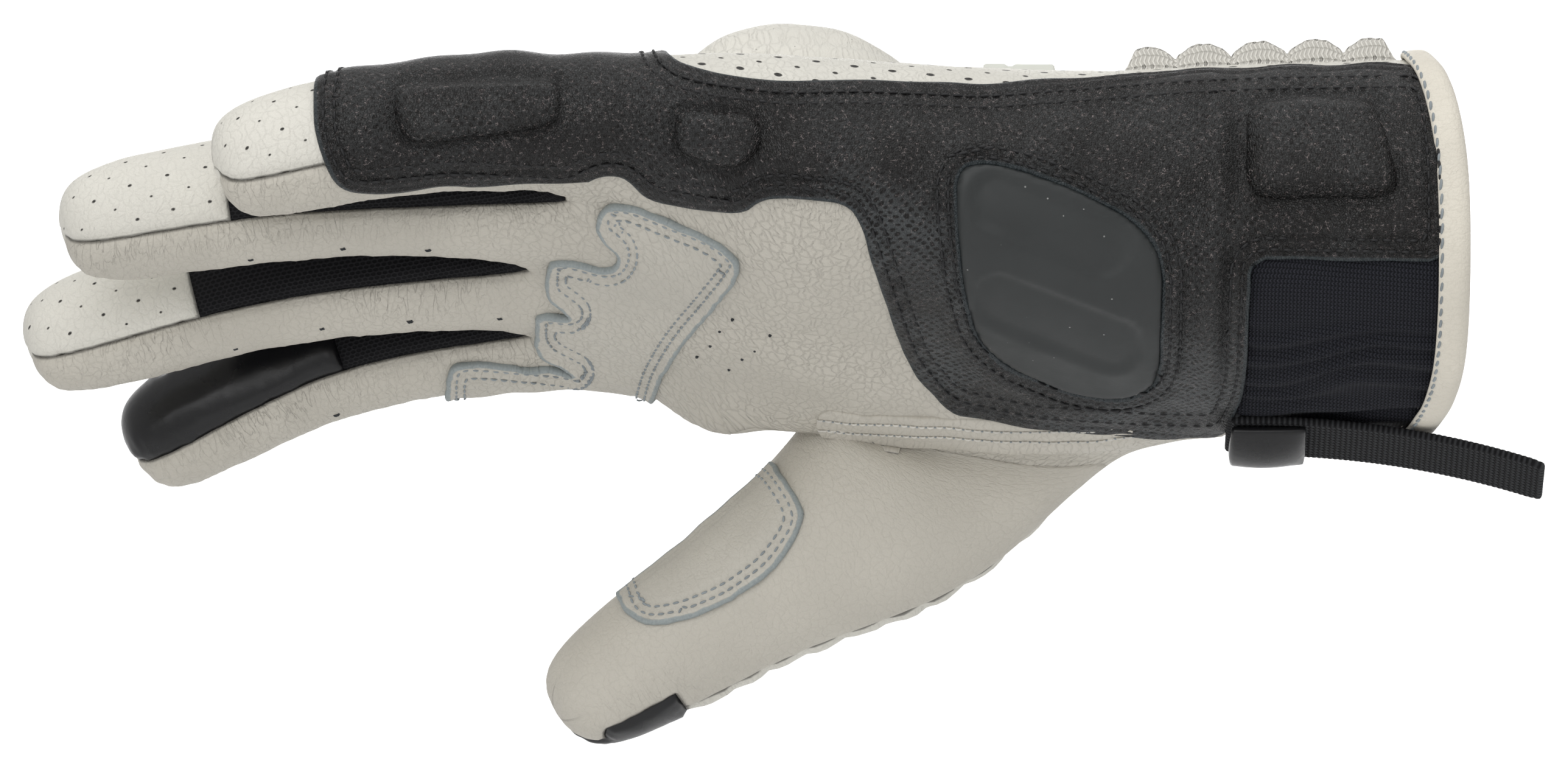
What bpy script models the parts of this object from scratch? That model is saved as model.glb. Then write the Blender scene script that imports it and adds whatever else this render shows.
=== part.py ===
"""Short-cuff motorcycle glove, shaped as it is on a relaxed hand.

The fingers point along -X, the cuff opens along +X and the little finger is nearest to -Y. The origin
is the middle of the wrist opening. A control cage of the hand is worked out from the sizes below and
subdivided once. Each skin of the glove is a wall between two offsets of its own share of that surface,
so that neighbouring skins follow each other with an even gap, and pieces sewn on top are further
offsets that are cut to their outlines.
"""

from collections import namedtuple

import bpy
import bmesh
import numpy as np
from mathutils import Vector
from mathutils.bvhtree import BVHTree

MM = 0.001

# Driving sizes of the whole glove, in metres
GLOVE_REACH = 245 * MM
CUFF_DEPTH = 61 * MM
PALM_BREADTH = 90 * MM
CUFF_BREADTH = 80 * MM
PALM_THICKNESS = 48 * MM
CUFF_THICKNESS = 56 * MM
KNUCKLE_ARC = 17 * MM
OPENING_DIP = 4.5 * MM

# Finger and thumb sizes, from the web to the tip
LITTLE_LENGTH = 68 * MM
RING_LENGTH = 86 * MM
MIDDLE_LENGTH = 91 * MM
INDEX_LENGTH = 79.5 * MM
LITTLE_WIDTH = 20 * MM
RING_WIDTH = 21.5 * MM
MIDDLE_WIDTH = 22 * MM
INDEX_WIDTH = 22 * MM
FINGER_DEPTH = 22.5 * MM
THUMB_LENGTH = 71.5 * MM
THUMB_WIDTH = 24.5 * MM
THUMB_DEPTH = 24 * MM
WEB_REACH = 10 * MM
WEB_DROP = 11.5 * MM
THUMB_BALL_DROP = 3.5 * MM

# Walls, layers and clearances
LEATHER_WALL = 1.6 * MM
PANEL_WALL = 1.2 * MM
PATCH_WALL = 1.1 * MM
FIT_GAP = 0.4 * MM
SEAM_GAP = 0.5 * MM
WEB_GAP = 0.9 * MM
PAD_RISE = 2.6 * MM
SLIDER_WALL = 3.0 * MM
KNUCKLE_RISE = 14.5 * MM
RIB_COUNT = 5
RIB_WALL = 0.8 * MM
RIB_RISE = 1.6 * MM
BINDING_WIDTH = 5.8 * MM
STRAP_WIDTH = 14 * MM
STRAP_WALL = 1.5 * MM
STRAP_LENGTH = 55 * MM
TAB_LENGTH = 12 * MM
TAB_EDGE = 0.8 * MM
TAB_BULGE = 4.2 * MM
BACK_TAB_LENGTH = 12.6 * MM
BACK_TAB_WIDTH = 9 * MM
BACK_TAB_WALL = 1.6 * MM

# A subdivided cage lies inside its own corners, so the cage is drawn this much larger
CAGE_SWELL = 1.035
FINGER_SWELL = 1.10

# Sections of the hand from the finger webs to the cuff. place is a share of the glove's reach, arc of
# the knuckle arc, breadth and the two depths are shares of half the palm's breadth and thickness.
Section = namedtuple("Section", "place arc roll lift breadth back palm thenar dip square")
SECTIONS = (
    Section(0.569, 1.00, 28, 0.066, 1.03, 0.54, 0.49, 0.00, 0.24, 3.0),
    Section(0.518, 0.70, 27, 0.060, 1.03, 0.70, 0.59, 0.00, 0.10, 2.9),
    Section(0.465, 0.30, 25, 0.033, 1.02, 0.86, 0.74, 0.05, 0.03, 2.8),
    Section(0.392, 0.00, 23, 0.000, 1.00, 0.99, 0.83, 0.28, 0.00, 2.6),
    Section(0.314, 0.00, 22, -0.016, 0.98, 1.03, 0.90, 0.34, 0.00, 2.5),
    Section(0.233, 0.00, 21, -0.016, 0.93, 1.07, 1.02, 0.20, 0.00, 2.4),
    Section(0.168, 0.00, 20, 0.000, 0.88, 1.12, 1.12, 0.03, 0.00, 2.4),
    Section(0.004, 0.00, 20, 0.000, 0.89, 1.16, 1.16, 0.00, 0.00, 2.4),
)
HOLE_FIRST_ROW = 2
HOLE_LAST_ROW = 5
CUFF_ROW = 5
GUSSET_ROW = 6

# Places of the nine columns across the back, as shares of half the breadth, little finger first
COLUMNS = (-0.90, -0.74, -0.50, -0.25, 0.0, 0.25, 0.50, 0.74, 0.90)

# Fingers from little to index: pitch at the three bones in degrees below level, splay in degrees
Finger = namedtuple("Finger", "name length width pitch_root pitch_middle pitch_tip splay")
FINGERS = (
    Finger("little", LITTLE_LENGTH, LITTLE_WIDTH, 0.0, 8.0, 16.0, -4.0),
    Finger("ring", RING_LENGTH, RING_WIDTH, 0.0, 6.0, 12.0, -1.0),
    Finger("middle", MIDDLE_LENGTH, MIDDLE_WIDTH, 3.5, 13.0, 18.0, 1.5),
    Finger("index", INDEX_LENGTH, INDEX_WIDTH, 5.0, 22.5, 31.0, 4.0),
)

# Rings along a finger or the thumb: share of its length, and shares of its width and depth
Ring = namedtuple("Ring", "share width depth")
FINGER_RINGS = (
    Ring(0.26, 1.00, 1.00),
    Ring(0.48, 0.98, 0.98),
    Ring(0.64, 0.96, 0.96),
    Ring(0.84, 0.94, 0.94),
    Ring(0.965, 0.76, 0.76),
)
THUMB_RINGS = (
    Ring(-0.06, 1.86, 1.42),
    Ring(0.34, 1.12, 1.14),
    Ring(0.74, 0.96, 1.00),
    Ring(0.94, 0.74, 0.76),
)
FOURCHETTE_ROWS = 3
INDEX_MESH_ROWS = 2
THUMB_PITCH_ROOT = 32.0
THUMB_PITCH_TIP = 35.0
THUMB_SPLAY = 1.0

# Outlines as seen from the little-finger side: (along, up), along as a share of the glove's reach from
# the wrist opening and up as a share of the cuff's depth from its middle
EDGE_PANEL_OUTLINE = (
    (-0.787, 0.45), (-0.786, 0.30), (-0.776, 0.20), (-0.768, 0.160), (-0.754, 0.150), (-0.694, 0.175),
    (-0.610, 0.160), (-0.598, 0.193), (-0.582, 0.204), (-0.571, 0.189), (-0.559, 0.141), (-0.537, 0.121),
    (-0.494, 0.093), (-0.484, 0.131), (-0.470, 0.143), (-0.422, 0.121), (-0.413, 0.064), (-0.398, -0.120),
    (-0.379, -0.323), (-0.352, -0.446), (-0.293, -0.497), (-0.208, -0.517), (-0.161, -0.520),
    (-0.157, -0.395), (-0.153, -0.030), (-0.0245, -0.040), (-0.0245, 0.199), (-0.031, 0.392),
    (-0.048, 0.495), (-0.142, 0.487), (-0.196, 0.476), (-0.250, 0.458), (-0.331, 0.433), (-0.358, 0.439),
    (-0.412, 0.448), (-0.466, 0.443), (-0.493, 0.455), (-0.520, 0.470), (-0.545, 0.500), (-0.56, 0.62),
    (-0.775, 0.62),
)
SLIDER_OUTLINE = (
    (-0.348, 0.199), (-0.334, 0.222), (-0.307, 0.204), (-0.269, 0.150), (-0.230, 0.072), (-0.214, 0.012),
    (-0.208, -0.060), (-0.208, -0.328), (-0.214, -0.379), (-0.235, -0.404), (-0.268, -0.387),
    (-0.310, -0.315), (-0.331, -0.246), (-0.341, -0.120), (-0.347, 0.064),
)
LONG_PAD_OUTLINE = (
    (-0.733, 0.429), (-0.717, 0.443), (-0.628, 0.456), (-0.619, 0.438), (-0.619, 0.354), (-0.627, 0.325),
    (-0.712, 0.281), (-0.724, 0.286), (-0.731, 0.345),
)
SHORT_PAD_OUTLINE = (
    (-0.540, 0.362), (-0.532, 0.372), (-0.492, 0.362), (-0.482, 0.337), (-0.482, 0.278), (-0.492, 0.227),
    (-0.505, 0.209), (-0.532, 0.244), (-0.540, 0.278),
)
CUFF_PAD_OUTLINE = (
    (-0.149, 0.345), (-0.145, 0.392), (-0.117, 0.412), (-0.063, 0.404), (-0.057, 0.345), (-0.046, 0.177),
    (-0.050, 0.135), (-0.142, 0.130), (-0.150, 0.177),
)
PALM_PATCH_OUTLINE = (
    (-0.594, 0.088), (-0.586, 0.121), (-0.572, 0.120), (-0.546, 0.076), (-0.516, 0.029), (-0.502, -0.012),
    (-0.495, -0.049), (-0.500, -0.089), (-0.518, -0.177), (-0.536, -0.258), (-0.548, -0.330),
    (-0.556, -0.396), (-0.562, -0.520), (-0.702, -0.520), (-0.702, -0.396), (-0.700, -0.338),
    (-0.692, -0.315), (-0.676, -0.317), (-0.616, -0.338), (-0.608, -0.352), (-0.638, -0.291),
    (-0.638, -0.202), (-0.635, -0.177), (-0.609, -0.194), (-0.618, -0.162), (-0.630, -0.133),
    (-0.629, -0.064), (-0.626, -0.032), (-0.616, -0.029), (-0.586, -0.064), (-0.579, -0.040),
    (-0.580, 0.000), (-0.593, 0.029),
)
THUMB_PATCH_OUTLINE = (
    (-0.582, -0.955), (-0.577, -1.020), (-0.563, -1.057), (-0.537, -1.042), (-0.504, -0.988),
    (-0.474, -0.901), (-0.455, -0.793), (-0.453, -0.732), (-0.465, -0.648), (-0.477, -0.590),
    (-0.505, -0.560), (-0.540, -0.620), (-0.600, -0.80),
)

# Colours (linear red, green, blue), roughness and metallic value
Finish = namedtuple("Finish", "red green blue roughness metallic")
WHITE_LEATHER = Finish(0.60, 0.57, 0.52, 0.55, 0.0)
BACK_LEATHER = Finish(0.66, 0.64, 0.59, 0.55, 0.0)
PATCH_LEATHER = Finish(0.55, 0.53, 0.49, 0.60, 0.0)
BLACK_LEATHER = Finish(0.028, 0.027, 0.028, 0.50, 0.0)
TOUCH_LEATHER = Finish(0.012, 0.012, 0.014, 0.30, 0.0)
BLACK_MESH = Finish(0.010, 0.010, 0.011, 0.85, 0.0)
STRETCH_FABRIC = Finish(0.014, 0.015, 0.021, 0.90, 0.0)
GREY_PLATE = Finish(0.050, 0.053, 0.053, 0.45, 0.0)
BINDING_LEATHER = Finish(0.62, 0.58, 0.51, 0.55, 0.0)
WHITE_RUBBER = Finish(0.60, 0.61, 0.55, 0.50, 0.0)
KNIT_WHITE = Finish(0.60, 0.58, 0.52, 0.85, 0.0)
BLACK_WEBBING = Finish(0.018, 0.019, 0.020, 0.80, 0.0)

PIECE_FINISH = {
    "back_leather": BACK_LEATHER,
    "palm_leather": WHITE_LEATHER,
    "thumb_leather": WHITE_LEATHER,
    "thumb_back": BACK_LEATHER,
    "fourchette_little_ring": BLACK_MESH,
    "fourchette_ring_middle": BLACK_MESH,
    "fourchette_middle_index": BLACK_MESH,
    "index_touch_tip": TOUCH_LEATHER,
    "thumb_touch_tip": TOUCH_LEATHER,
    "cuff_back": BACK_LEATHER,
    "cuff_gusset": STRETCH_FABRIC,
}


def clear_scene():
    """Remove every object that the start-up file brings."""
    for item in list(bpy.data.objects):
        bpy.data.objects.remove(item, do_unlink=True)


def make_material(name, finish):
    """A plain Principled material in the given finish."""
    material = bpy.data.materials.new(name)
    material.use_nodes = True
    shader = material.node_tree.nodes["Principled BSDF"]
    shader.inputs["Base Color"].default_value = (finish.red, finish.green, finish.blue, 1.0)
    shader.inputs["Roughness"].default_value = finish.roughness
    shader.inputs["Metallic"].default_value = finish.metallic
    return material


def make_object(name, points, faces, finish=None):
    """A mesh object of the given points and faces with outward normals."""
    mesh = bpy.data.meshes.new(name)
    mesh.from_pydata([tuple(point) for point in points], [], [tuple(face) for face in faces])
    shape = bmesh.new()
    shape.from_mesh(mesh)
    bmesh.ops.recalc_face_normals(shape, faces=shape.faces)
    shape.to_mesh(mesh)
    shape.free()
    mesh.update()
    item = bpy.data.objects.new(name, mesh)
    bpy.context.scene.collection.objects.link(item)
    if finish is not None:
        mesh.materials.append(make_material(name, finish))
    return item


def roll_frame(roll_degrees):
    """The directions across the hand, towards the index finger, and out of its back."""
    roll = np.radians(roll_degrees)
    across = np.array([0.0, np.cos(roll), -np.sin(roll)])
    back = np.array([0.0, np.sin(roll), np.cos(roll)])
    return across, back


def knuckle_arc(share):
    """How far a column lies towards the fingertips, as a share of the knuckle arc."""
    return 1.0 - ((share - 0.25) / 1.15) ** 2


def section_points(section):
    """The twenty cage points round the hand at one section, a squared-off ellipse."""
    across, back = roll_frame(section.roll)
    near_cuff = np.clip((0.40 - section.place) / 0.25, 0.0, 1.0)
    breadth = (1.0 - near_cuff) * PALM_BREADTH + near_cuff * CUFF_BREADTH * 1.125
    thickness = (1.0 - near_cuff) * PALM_THICKNESS + near_cuff * CUFF_THICKNESS * 0.857
    half_breadth = 0.5 * breadth * section.breadth * CAGE_SWELL
    half_back = 0.5 * thickness * section.back * CAGE_SWELL
    half_palm = 0.5 * thickness * section.palm * CAGE_SWELL
    points = []
    for column in range(20):
        if column in (9, 19):
            share, height = (1.0 if column == 9 else -1.0), 0.0
        else:
            on_back = column < 9
            index = column if on_back else 18 - column
            share = COLUMNS[index]
            fall = (1.0 - abs(share) ** section.square) ** (1.0 / section.square)
            if index in (2, 4, 6):
                fall *= 1.0 - section.dip
            if on_back:
                height = half_back * fall
            else:
                swell = 1.0 + section.thenar * np.exp(-((share - 0.55) / 0.45) ** 2)
                height = -half_palm * fall * swell
        along = -section.place * GLOVE_REACH - section.arc * KNUCKLE_ARC * knuckle_arc(share)
        point = across * (share * half_breadth) + back * height
        if section.place < 0.05:
            along -= OPENING_DIP * (2.0 * abs(point[2]) / CUFF_DEPTH) ** 6
        points.append([along, point[1], point[2] + section.lift * CUFF_DEPTH])
    return np.array(points)


def bone_path(start, length, shares, pitches, splay):
    """Points and directions along a finger whose pitch changes smoothly over its joints."""
    steps = np.linspace(-0.15, 1.15, 79)
    pitch = np.radians(np.interp(steps, (0.25, 0.55, 0.85), pitches))
    turn = np.radians(splay)
    heading = np.stack((-np.cos(pitch) * np.cos(turn), np.full_like(pitch, np.sin(turn)), -np.sin(pitch)), 1)
    travel = np.vstack((np.zeros(3), np.cumsum(0.5 * (heading[1:] + heading[:-1]), 0) * (steps[1] - steps[0])))
    travel -= np.array([np.interp(0.0, steps, travel[:, k]) for k in range(3)])
    centres = [start + length * np.array([np.interp(share, steps, travel[:, k]) for k in range(3)])
               for share in shares]
    headings = [np.array([np.interp(share, steps, heading[:, k]) for k in range(3)]) for share in shares]
    return centres, headings


def unit(vector):
    """The vector at length one."""
    return vector / np.linalg.norm(vector)


class Cage:
    """Control cage of the hand: its points, its four-sided faces, and each face's piece and zone."""

    def __init__(self):
        self.points = []
        self.faces = []
        self.piece_of = []
        self.zone_of = []

    def add_points(self, points):
        """Store points and give back their numbers."""
        first = len(self.points)
        self.points.extend(list(points))
        return list(range(first, len(self.points)))

    def add_face(self, face, piece, zone):
        """Store one face with the piece it belongs to and its place on the hand."""
        self.faces.append(face)
        self.piece_of.append(piece)
        self.zone_of.append(zone)


def build_palm(cage):
    """The tube round the palm and the wrist, with a hole for the thumb."""
    rows = [cage.add_points(section_points(section)) for section in SECTIONS]
    for column, share in ((9, 0.8), (10, 1.0), (11, 0.5)):
        cage.points[rows[HOLE_FIRST_ROW][column]] += share * np.array([-WEB_REACH, 0.0, -WEB_DROP])
        cage.points[rows[HOLE_LAST_ROW][column]] += share * np.array([0.0, 0.0, -THUMB_BALL_DROP])
    for row in range(len(rows) - 1):
        for column in range(20):
            in_hole_rows = HOLE_FIRST_ROW <= row < HOLE_LAST_ROW
            if in_hole_rows and column in (8, 9, 10):
                continue
            following = (column + 1) % 20
            face = (rows[row][column], rows[row + 1][column], rows[row + 1][following], rows[row][following])
            on_palm = 10 <= column <= 17
            if on_palm:
                piece = "cuff_gusset" if row >= GUSSET_ROW else "palm_leather"
            else:
                piece = "cuff_back" if row >= CUFF_ROW else "back_leather"
            cage.add_face(face, piece, ("palm", row, column))
    return rows


def finger_piece(number, row, side):
    """The piece that a finger's face belongs to; side counts the eight faces round a ring."""
    on_back = side in (0, 1)
    on_palm = side in (4, 5)
    if on_palm:
        return "palm_leather"
    if number == 3 and side in (6, 7) and row >= INDEX_MESH_ROWS:
        return "index_touch_tip"
    if number == 3 and on_back and row > FOURCHETTE_ROWS:
        return "index_touch_tip"
    if on_back or row >= FOURCHETTE_ROWS:
        return "back_leather"
    towards_index = side in (2, 3)
    if number == 0 and not towards_index or number == 3 and towards_index:
        return "back_leather"
    gap = number if towards_index else number - 1
    return ("fourchette_little_ring", "fourchette_ring_middle", "fourchette_middle_index")[gap]


def build_finger(cage, number, ring):
    """A tube of eight-sided rings from the finger's root ring to its tip, closed by four faces."""
    finger = FINGERS[number]
    across, back = roll_frame(SECTIONS[0].roll)
    start = np.mean([cage.points[index] for index in ring], axis=0)
    shares = [item.share for item in FINGER_RINGS] + [1.0]
    pitches = (finger.pitch_root, finger.pitch_middle, finger.pitch_tip)
    centres, headings = bone_path(start, finger.length, shares, pitches, finger.splay)
    rings = [ring]
    for item, centre, heading in zip(FINGER_RINGS, centres, headings):
        side = unit(across - heading * np.dot(across, heading))
        top = unit(np.cross(side, heading))
        if np.dot(top, back) < 0.0:
            top = -top
        half_width = 0.5 * finger.width * item.width * FINGER_SWELL
        half_depth = 0.5 * FINGER_DEPTH * item.depth * FINGER_SWELL
        angles = np.radians(np.arange(8) * 45.0 - 45.0)
        points = [centre + side * half_width * np.sin(angle) + top * half_depth * np.cos(angle)
                  for angle in angles]
        rings.append(cage.add_points(points))
    tip = cage.add_points([centres[-1]])[0]
    for row in range(len(rings) - 1):
        for side_number in range(8):
            following = (side_number + 1) % 8
            face = (rings[row][side_number], rings[row][following],
                    rings[row + 1][following], rings[row + 1][side_number])
            piece = finger_piece(number, row, side_number)
            cage.add_face(face, piece, ("finger", number, row, side_number))
    last = len(rings) - 1
    for side_number in (0, 2, 4, 6):
        face = (rings[last][side_number], rings[last][side_number + 1], rings[last][(side_number + 2) % 8], tip)
        piece = finger_piece(number, last, side_number)
        cage.add_face(face, piece, ("finger", number, last, side_number))


def build_fingers(cage, rows):
    """The four fingers and the webs between them."""
    first = rows[0]
    points = cage.points
    webs = [cage.add_points([0.5 * (points[first[2 * gap]] + points[first[18 - 2 * gap]])])[0]
            for gap in (1, 2, 3)]
    sides = [first[19]] + webs + [first[9]]
    for number in range(4):
        ring = [first[2 * number], first[2 * number + 1], first[2 * number + 2], sides[number + 1],
                first[16 - 2 * number], first[17 - 2 * number], first[18 - 2 * number], sides[number]]
        build_finger(cage, number, ring)


def thumb_piece(row, side):
    """The piece that a thumb's face belongs to; side counts twelve faces from the web side."""
    if row >= len(THUMB_RINGS) - 1 and side in (3, 4, 5):
        return "thumb_touch_tip"
    if 4 <= side <= 8:
        return "thumb_back"
    return "thumb_leather"


def build_thumb(cage, rows):
    """A tube of twelve-sided rings from the hole in the palm's side to the thumb's tip."""
    low, high = HOLE_FIRST_ROW, HOLE_LAST_ROW
    ring = [rows[row][11] for row in range(low, high)]
    ring += [rows[high][column] for column in (11, 10, 9)]
    ring += [rows[row][8] for row in range(high, low, -1)]
    ring += [rows[low][column] for column in (8, 9, 10)]
    centre = np.mean([cage.points[index] for index in ring], axis=0)
    shares = [item.share for item in THUMB_RINGS] + [1.0]
    start = centre + np.array([-0.022 * GLOVE_REACH, -0.02 * PALM_BREADTH, -0.34 * CUFF_DEPTH])
    pitches = (THUMB_PITCH_ROOT, THUMB_PITCH_ROOT, THUMB_PITCH_TIP)
    centres, headings = bone_path(start, THUMB_LENGTH, shares, pitches, THUMB_SPLAY)
    rings = [ring]
    for item, middle, heading in zip(THUMB_RINGS, centres, headings):
        near = unit(np.array([0.0, -1.0, 0.0]) + heading * heading[1])
        web = unit(np.cross(heading, near))
        if web[2] < 0.0:
            web = -web
        half_width = 0.5 * THUMB_WIDTH * item.width * CAGE_SWELL
        half_depth = 0.5 * THUMB_DEPTH * item.depth * CAGE_SWELL
        angles = np.radians(45.0 + 30.0 * np.arange(12))
        points = [middle + web * half_width * np.cos(angle) + near * half_depth * np.sin(angle)
                  for angle in angles]
        rings.append(cage.add_points(points))
    tip = cage.add_points([centres[-1]])[0]
    for row in range(len(rings) - 1):
        for side in range(12):
            following = (side + 1) % 12
            face = (rings[row][following], rings[row][side], rings[row + 1][side], rings[row + 1][following])
            cage.add_face(face, thumb_piece(row, side), ("thumb", row, side))
    last = len(rings) - 1
    for side in range(0, 12, 2):
        face = (rings[last][(side + 2) % 12], rings[last][side + 1], rings[last][side], tip)
        cage.add_face(face, thumb_piece(last, side), ("thumb", last, side))


class HandSurface:
    """The subdivided surface of the hand: triangles with the cage face that each came from."""

    def __init__(self, cage):
        self.zone_of = cage.zone_of
        self.piece_of = cage.piece_of
        mesh = bpy.data.meshes.new("hand_cage")
        mesh.from_pydata([tuple(point) for point in cage.points], [], cage.faces)
        parent = mesh.attributes.new("cage_face", "INT", "FACE")
        parent.data.foreach_set("value", np.arange(len(cage.faces), dtype=np.int32))
        item = bpy.data.objects.new("hand_cage", mesh)
        bpy.context.scene.collection.objects.link(item)
        smoother = item.modifiers.new("smooth", "SUBSURF")
        smoother.levels = 1
        smoother.render_levels = 1
        bpy.context.view_layer.update()
        fine = item.evaluated_get(bpy.context.evaluated_depsgraph_get()).to_mesh()
        flat = np.empty(len(fine.vertices) * 3)
        fine.vertices.foreach_get("co", flat)
        self.points = flat.reshape(-1, 3)
        parents = np.empty(len(fine.polygons), dtype=np.int32)
        fine.attributes["cage_face"].data.foreach_get("value", parents)
        triangles, origins = [], []
        for polygon, origin in zip(fine.polygons, parents):
            a, b, c, d = polygon.vertices
            short_way = np.linalg.norm(self.points[a] - self.points[c])
            long_way = np.linalg.norm(self.points[b] - self.points[d])
            halves = ((a, b, c), (a, c, d)) if short_way <= long_way else ((a, b, d), (b, c, d))
            triangles.extend(halves)
            origins.extend((origin, origin))
        self.triangles = np.array(triangles)
        self.origins = np.array(origins)
        bpy.data.objects.remove(item, do_unlink=True)
        corners = self.points[self.triangles]
        self.face_normals = np.cross(corners[:, 1] - corners[:, 0], corners[:, 2] - corners[:, 0])
        self.normals = np.zeros_like(self.points)
        for corner in range(3):
            np.add.at(self.normals, self.triangles[:, corner], self.face_normals)
        lengths = np.linalg.norm(self.normals, axis=1)
        self.normals /= np.where(lengths > 0.0, lengths, 1.0)[:, None]
        self.tree = BVHTree.FromPolygons([Vector(point) for point in self.points],
                                         [tuple(triangle) for triangle in self.triangles])

    def faces_where(self, test):
        """Numbers of the triangles whose cage face passes the test of its piece and zone."""
        wanted = np.array([test(piece, zone) for piece, zone in zip(self.piece_of, self.zone_of)])
        return np.nonzero(wanted[self.origins])[0]

    def wall(self, faces, low, high, margin):
        """Points and faces of the closed wall between two offsets over some of the triangles.

        low and high are lengths along the normal, or functions of the points. The wall's rim is moved
        inward along the surface by margin.
        """
        chosen = self.triangles[faces]
        used, local = np.unique(chosen, return_inverse=True)
        local = local.reshape(-1, 3)
        points, normals = self.points[used], self.normals[used]
        edges = {}
        for number, (a, b, c) in enumerate(local):
            for first, second in ((a, b), (b, c), (c, a)):
                edges[(first, second)] = number
        rim = [(first, second) for first, second in edges if (second, first) not in edges]
        shift = np.zeros_like(points)
        for first, second in rim:
            face_normal = unit(self.face_normals[faces[edges[(first, second)]]])
            inward = unit(np.cross(face_normal, points[second] - points[first]))
            shift[first] += inward
            shift[second] += inward
        squares = np.sum(shift ** 2, axis=1)
        moved = squares > 0.0
        shift[moved] *= (2.0 * margin / np.maximum(squares[moved], 0.8))[:, None]
        bottom = low(points) if callable(low) else np.full(len(points), low)
        top = high(points) if callable(high) else np.full(len(points), high)
        upper = points + normals * top[:, None] + shift
        lower = points + normals * bottom[:, None] + shift
        count = len(points)
        solid = [tuple(face) for face in local]
        solid += [(face[2] + count, face[1] + count, face[0] + count) for face in local]
        for first, second in rim:
            if used[first] < used[second]:
                solid += [(second, first, second + count), (first, first + count, second + count)]
            else:
                solid += [(second, first, first + count), (second, first + count, second + count)]
        return np.vstack((upper, lower)), solid


def outline_prism(name, outline):
    """A guide that cuts a layer to an outline seen from the little-finger side."""
    half_depth = 1.7 * PALM_BREADTH
    points = [(along * GLOVE_REACH, -half_depth, up * CUFF_DEPTH) for along, up in outline]
    points += [(x, half_depth, z) for x, _, z in points]
    count = len(outline)
    faces = [tuple(range(count)), tuple(range(2 * count - 1, count - 1, -1))]
    faces += [(k, k + count, (k + 1) % count + count, (k + 1) % count) for k in range(count)]
    guide = make_object(name, points, faces)
    guide.hide_render = True
    guide.display_type = "WIRE"
    return guide


def keep_inside(item, guide):
    """Cut a layer so that only what lies inside the guide is left."""
    cut = item.modifiers.new("outline", "BOOLEAN")
    cut.operation = "INTERSECT"
    cut.solver = "EXACT"
    cut.object = guide


def sewn_layer(surface, name, finish, test, low, high, outline):
    """A piece sewn on top of the skins, cut to its outline."""
    faces = surface.faces_where(test)
    points, solid = surface.wall(faces, low, high, 0.0)
    item = make_object(name, points, solid, finish)
    keep_inside(item, outline_prism(name + "_outline", outline))
    return item


def grid_solid(upper, lower):
    """Points and faces of the closed solid between two grids of points of the same size."""
    rows, columns = upper.shape[:2]
    count = rows * columns
    number = np.arange(count).reshape(rows, columns)
    faces = []
    for row in range(rows - 1):
        for column in range(columns - 1):
            face = (number[row, column], number[row + 1, column],
                    number[row + 1, column + 1], number[row, column + 1])
            faces.append(face)
            faces.append(tuple(corner + count for corner in reversed(face)))
    rim = list(number[0, :]) + list(number[1:, -1]) + list(number[-1, -2::-1]) + list(number[-2:0:-1, 0])
    for first, second in zip(rim, rim[1:] + rim[:1]):
        faces.append((first, second, second + count, first + count))
    return np.vstack((upper.reshape(-1, 3), lower.reshape(-1, 3))), faces


def laid_grid(surface, alongs, offsets, roll):
    """Where a grid of lines straight down through the back meets the surface, with the normals."""
    across, back = roll_frame(roll)
    reach = 2.0 * PALM_THICKNESS
    columns = np.shape(offsets)[-1]
    points = np.zeros((len(alongs), columns, 3))
    normals = np.zeros_like(points)
    for row, along in enumerate(alongs):
        for column in range(columns):
            offset = offsets[row] if np.ndim(offsets) > 1 else offsets
            start = Vector(np.array([along, 0.0, 0.0]) + across * offset[column] + back * reach)
            hit, _, face, _ = surface.tree.ray_cast(start, Vector(-back))
            points[row, column] = hit
            normals[row, column] = smooth_normal(surface, face, hit)
    return points, normals


def smooth_normal(surface, face, point):
    """The surface's normal at a point of one triangle, blended from its corners."""
    corners = surface.triangles[face]
    a, b, c = surface.points[corners]
    whole = np.linalg.norm(np.cross(b - a, c - a))
    point = np.array(point)
    shares = np.array([np.linalg.norm(np.cross(b - point, c - point)),
                       np.linalg.norm(np.cross(c - point, a - point)),
                       np.linalg.norm(np.cross(a - point, b - point))]) / whole
    return unit(surface.normals[corners].T @ shares)


def build_skins(surface):
    """Each skin of the glove as a wall inside the hand's surface."""
    for name, finish in PIECE_FINISH.items():
        faces = surface.faces_where(lambda piece, zone, wanted=name: piece == wanted)
        gap = WEB_GAP if name.startswith("fourchette") else SEAM_GAP
        points, solid = surface.wall(faces, -LEATHER_WALL, 0.0, 0.5 * gap)
        make_object(name, points, solid, finish)


def on_little_edge(piece, zone):
    """The outer side of the little finger and of the hand."""
    if zone[0] == "finger":
        return zone[1] == 0 and zone[3] in (0, 5, 6, 7) and zone[2] < len(FINGER_RINGS)
    if zone[0] == "palm" and zone[2] == 1:
        return zone[1] >= HOLE_FIRST_ROW
    return zone[0] == "palm" and (zone[2] in (0, 18, 19) or 12 <= zone[2] <= 17)


def on_near_side(piece, zone):
    """The part of the outer side that faces straight away from the other fingers."""
    if zone[0] == "finger":
        return zone[1] == 0 and zone[3] in (0, 6, 7) and zone[2] < len(FINGER_RINGS)
    return zone[0] == "palm" and (zone[2] in (0, 18, 19) or 13 <= zone[2] <= 17)


def on_palm_front(piece, zone):
    """The palm and the roots of the finger fronts."""
    if zone[0] == "finger":
        return zone[3] in (4, 5) and zone[2] <= 1 and zone[1] >= 1
    return zone[0] == "palm" and zone[1] <= 2 and 10 <= zone[2] <= 17


def on_thumb_front(piece, zone):
    """The near side and the web side of the thumb."""
    return zone[0] == "thumb" and zone[2] in (11, 0, 1, 2, 3) and zone[1] <= 2


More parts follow.
